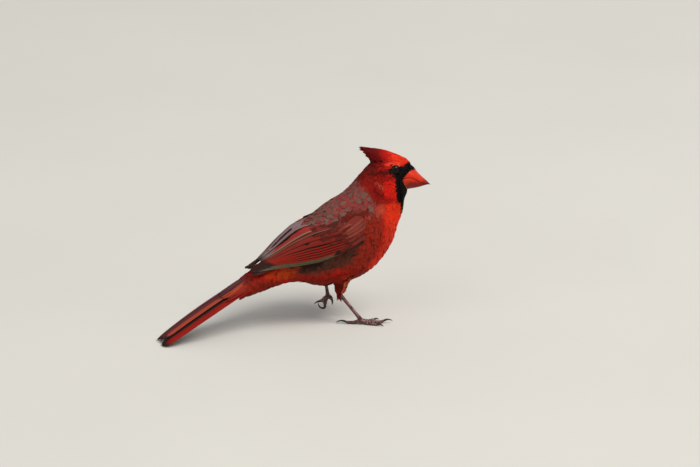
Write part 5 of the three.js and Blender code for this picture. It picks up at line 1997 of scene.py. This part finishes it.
# %% [markdown]
# Below the thigh feathers a bird's leg is scaly skin over bone. Its plan is that of the packed
# leg: a shank from heel to the base of the toes, and for each toe the heading, the pitch and the
# length of every bone. Circles are set across these lines and bridged to tubes. A remesh joins
# the tubes and the ball of the foot, as flesh would.

# %% Plan of the legs
LEGS = {
    "right": dict(
        heel=(31.28, 5.16, 22.4), toe_base=(45.88, 5.86, 3.3),
        toes={
            # heading, pitch of each bone, length of each bone, claw: length, pitch and curl
            "middle": (5, (-23, -1, 8), (5.6, 5.4, 5.0), (7.2, 34, -66)),
            "inner": (32, (-24, -1), (5.4, 5.0), (5.4, 26, -64)),
            "outer": (-16, (-30, -1, -1), (4.4, 4.2, 3.8), (5.0, 22, -64)),
            "hind": (176, (-27, -1), (4.8, 5.0), (9.0, 30, -64)),
        }),
    "left": dict(
        heel=(21.28, 27.56, 24.2), toe_base=(22.88, 27.56, 13.2),
        toes={
            "middle": (160, (-64, -80, -92), (3.7, 3.3, 2.8), (8.0, -60, 116)),
            "inner": (198, (-40, -34), (3.4, 3.2), (5.4, 10, -60)),
            "outer": (126, (-60, -76), (4.2, 3.6), (5.2, -50, 100)),
            "hind": (-14, (-34, -58), (2.3, 1.8), (4.4, -74, -34)),
        }),
}
SHANK_RADII = (1.6, 1.24, 1.18, 1.24, 1.6)
TOE_RADIUS, TOE_TAPER = 1.42, 0.1
JOINT_SWELLING = 0.1
BALL_RADIUS, BALL_DROP = 2.1, 0.9
RING_SPACING, EVENING_OF_RINGS = 0.55, 2
TUBE_SIDES = 14
LEG_VOXEL = 0.2
CLAW_RADII = (0.72, 0.8, 0.7, 0.54, 0.36, 0.06)
CLAW_STEPS = 16
CLAW_OVERLAP = 0.6
CLAW_ARCH, CLAW_BEND = 12.0, 9
CLAW_TURN = 1.3
CLAW_FLATTENING = 0.8


class Limb:
    """Points along a limb, with the way across it, its front side and its radius there."""

    def __init__(self, joints, radii, heading, swelling):
        joints, radii = np.array(joints, dtype=float), np.array(radii, dtype=float)
        lengths = np.linalg.norm(np.diff(joints, axis=0), axis=1)
        at_joint = np.concatenate([[0.0], np.cumsum(lengths)])
        self.along = np.linspace(0.0, at_joint[-1], round(at_joint[-1] / RING_SPACING) + 1)
        self.points = np.stack([np.interp(self.along, at_joint, column) for column in joints.T], axis=1)
        for _ in range(EVENING_OF_RINGS):
            self.points[1:-1] = (self.points[:-2] + 2 * self.points[1:-1] + self.points[2:]) / 4
        to_joint = np.abs(self.along[:, None] - at_joint).min(axis=1)
        self.radii = np.interp(self.along, at_joint, radii) * (1 + swelling * np.cos(2 * to_joint))
        turn = math.radians(heading)
        self.across = np.array([-math.sin(turn), math.cos(turn), 0.0])
        self.ways = unit(np.gradient(self.points, axis=0))
        self.fronts = np.cross(self.ways, self.across)


def step_from(point, heading, pitch, length):
    heading, pitch = math.radians(heading), math.radians(pitch)
    level, rise = math.cos(pitch) * length, math.sin(pitch) * length
    return np.array(point) + (level * math.cos(heading), level * math.sin(heading), rise)


def toe_limb(base, heading, pitches, bones):
    joints = [np.array(base)]
    for pitch, bone in zip(pitches, bones):
        joints.append(step_from(joints[-1], heading, pitch, bone))
    radii = [TOE_RADIUS * (1 - TOE_TAPER * k) for k in range(len(joints))]
    return Limb(joints, radii, heading, JOINT_SWELLING)


def claw_limb(toe, heading, pitches, claw):
    """A claw curls evenly along its length and tapers to a point."""
    length, pitch, curl = claw
    joints = [toe.points[-1] - toe.ways[-1] * CLAW_OVERLAP]
    step = (length + CLAW_OVERLAP) / CLAW_STEPS
    for share in np.linspace(0.0, 1.0, CLAW_STEPS):
        start = blend(pitches[-1], pitch + CLAW_ARCH, min(1.0, share * CLAW_BEND))
        joints.append(step_from(joints[-1], heading, start + CLAW_TURN * curl * share, step))
    radii = np.interp(np.linspace(0, 1, len(joints)), np.linspace(0, 1, len(CLAW_RADII)), CLAW_RADII)
    return Limb(joints, radii, heading, 0.0)


def sweep(bm, limb, flattening=1.0):
    """A closed tube: circles across the limb, bridged, with a cap at either end."""
    rings = []
    last = len(limb.points) - 1
    for k, (point, radius, way, front) in enumerate(zip(limb.points, limb.radii, limb.ways, limb.fronts)):
        turn = Matrix([limb.across * flattening, front, way]).transposed().to_4x4()
        ring = bmesh.ops.create_circle(bm, cap_ends=k in (0, last), segments=TUBE_SIDES, radius=radius,
                                       matrix=Matrix.Translation(Vector(point)) @ turn)["verts"]
        rings.append(edges_at(ring))
    bridge(bm, rings)


print("toes in the plan:", {side: len(plan["toes"]) for side, plan in LEGS.items()})

# %% [markdown]
# Scales on the front of shank and toes overlap towards the claws: each rises slowly and drops
# at its end. They are pushed out of the remeshed surface, and the same wave darkens the grooves.
# Soles have no scales but small warts, which are left to the relief of the material.

# %% Legs and claws
SCALE_LENGTH, SCALE_RISE = 1.15, 0.09
SCALES_FROM, SCALES_TO = -0.15, 0.35
LEG_SMOOTHING_ROUNDS = 4


def leg_material():
    tree = Tree("leg_scales")
    scale, front = tree.attribute("scale", "Fac"), tree.attribute("front", "Fac")
    cloud = tree.noise(500.0, 4.0)
    place = tree.node("ShaderNodeTexCoord", output="Object")
    warts = tree.node("ShaderNodeTexVoronoi", None, Vector=place, Scale=2400.0)
    color = tree.mix(seen(54, 20, 16), seen(108, 52, 44), cloud.ramp(0.35, 0.7))
    # Pale painted highlights on the raised ends of the front scales.
    scale_highlight = scale.ramp(0.45, 0.9) * front * cloud.ramp(0.4, 0.65) * 0.85
    color = tree.mix(color, seen(200, 166, 158), scale_highlight)
    color = tree.mix(color, seen(26, 10, 10), (1 - scale.ramp(0.0, 0.25)) * front * 0.7)
    color = tree.mix(color, seen(70, 44, 40), (1 - front) * 0.5)
    normal = tree.bump(warts * (1 - front) + cloud * 0.4, 0.00015, 0.6)
    return tree.shade(Base_Color=color, Roughness=0.42, Normal=normal, Specular_IOR_Level=0.45)


def claw_material():
    tree = Tree("claw_horn")
    cloud = tree.noise(900.0, 3.0)
    color = tree.mix(seen(16, 12, 12), seen(48, 36, 33), cloud.ramp(0.4, 0.8))
    normal = tree.bump(cloud, 0.00004, 0.5)
    return tree.shade(Base_Color=color, Roughness=0.3, Normal=normal, Specular_IOR_Level=0.5)


def scale_wave(points, limbs):
    """Where along its scale each point is, 0 to 1, and whether scales grow there."""
    parts = [(limb.points, limb.along, limb.fronts, limb.ways) for limb in limbs]
    places, along, fronts, ways = (np.concatenate(part) for part in zip(*parts))
    nearest = nearest_in(search_tree(places), points)
    off = points - places[nearest]
    distance = along[nearest] + (off * ways[nearest]).sum(axis=1)
    facing_front = (unit(off) * fronts[nearest]).sum(axis=1)
    return (distance / SCALE_LENGTH) % 1.0, smooth_step(facing_front, SCALES_FROM, SCALES_TO)


def make_leg(side_name, material):
    plan = LEGS[side_name]
    heel, base = np.array(plan["heel"]), np.array(plan["toe_base"])
    heading = math.degrees(math.atan2(base[1] - heel[1], base[0] - heel[0]))
    steps = np.linspace(0.0, 1.0, len(SHANK_RADII))[:, None]
    limbs = [Limb(blend(heel, base, steps), SHANK_RADII, heading, 0.0)]
    limbs += [toe_limb(base, *toe[:3]) for toe in plan["toes"].values()]
    whole = bmesh.new()
    for limb in limbs:
        sweep(whole, limb)
    ball = Matrix.Translation(Vector(base) - Vector((0, 0, BALL_DROP)))
    bmesh.ops.create_icosphere(whole, subdivisions=3, radius=BALL_RADIUS, matrix=ball)
    bmesh.ops.recalc_face_normals(whole, faces=whole.faces)
    leg = remeshed(f"leg_{side_name}", [whole], LEG_VOXEL)
    mesh = leg.data
    points = smooth_points(mesh, points_of(mesh), SMOOTHING, LEG_SMOOTHING_ROUNDS)
    write_points(mesh, points)
    scale, front = scale_wave(points, limbs)
    points = points + normals_of(mesh) * (SCALE_RISE * (scale - 0.5) * front)[:, None]
    points[:, 2] = points[:, 2].clip(0.0)
    write_points(mesh, points * MM)
    write_attribute(mesh, "scale", scale)
    write_attribute(mesh, "front", front)
    shade_smoothly(mesh)
    mesh.materials.append(material)
    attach(leg, "root")
    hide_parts(f"tarsus_{side_name}", f"foot_{side_name}")
    return leg


def make_claws(side_name, material):
    plan = LEGS[side_name]
    bm = bmesh.new()
    for heading, pitches, bones, claw in plan["toes"].values():
        toe = toe_limb(plan["toe_base"], heading, pitches, bones)
        sweep(bm, claw_limb(toe, heading, pitches, claw), CLAW_FLATTENING)
    for vert, point in zip(bm.verts, straighten(np.array([v.co for v in bm.verts]) * MM)):
        vert.co = point
    claws = finish_piece(f"claws_{side_name}", bm, material)
    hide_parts(*[f"claw_{side_name}_{toe}" for toe in plan["toes"]])
    return claws


leg_finish, claw_finish = leg_material(), claw_material()
for side_name in SIDES:
    leg = make_leg(side_name, leg_finish)
    claws = make_claws(side_name, claw_finish)
    print(leg.name, len(leg.data.polygons), "faces,", claws.name, len(claws.data.polygons), "faces")

# %% [markdown]
# The skin stayed straight until now, because feathers were laid on it. It is bent like the rest
# and replaces the imported flesh.

# %% Finish
write_points(skin.data, bend(skin_points))
shade_smoothly(skin.data)
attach(skin, "root")
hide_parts(*FLESH, "crest")
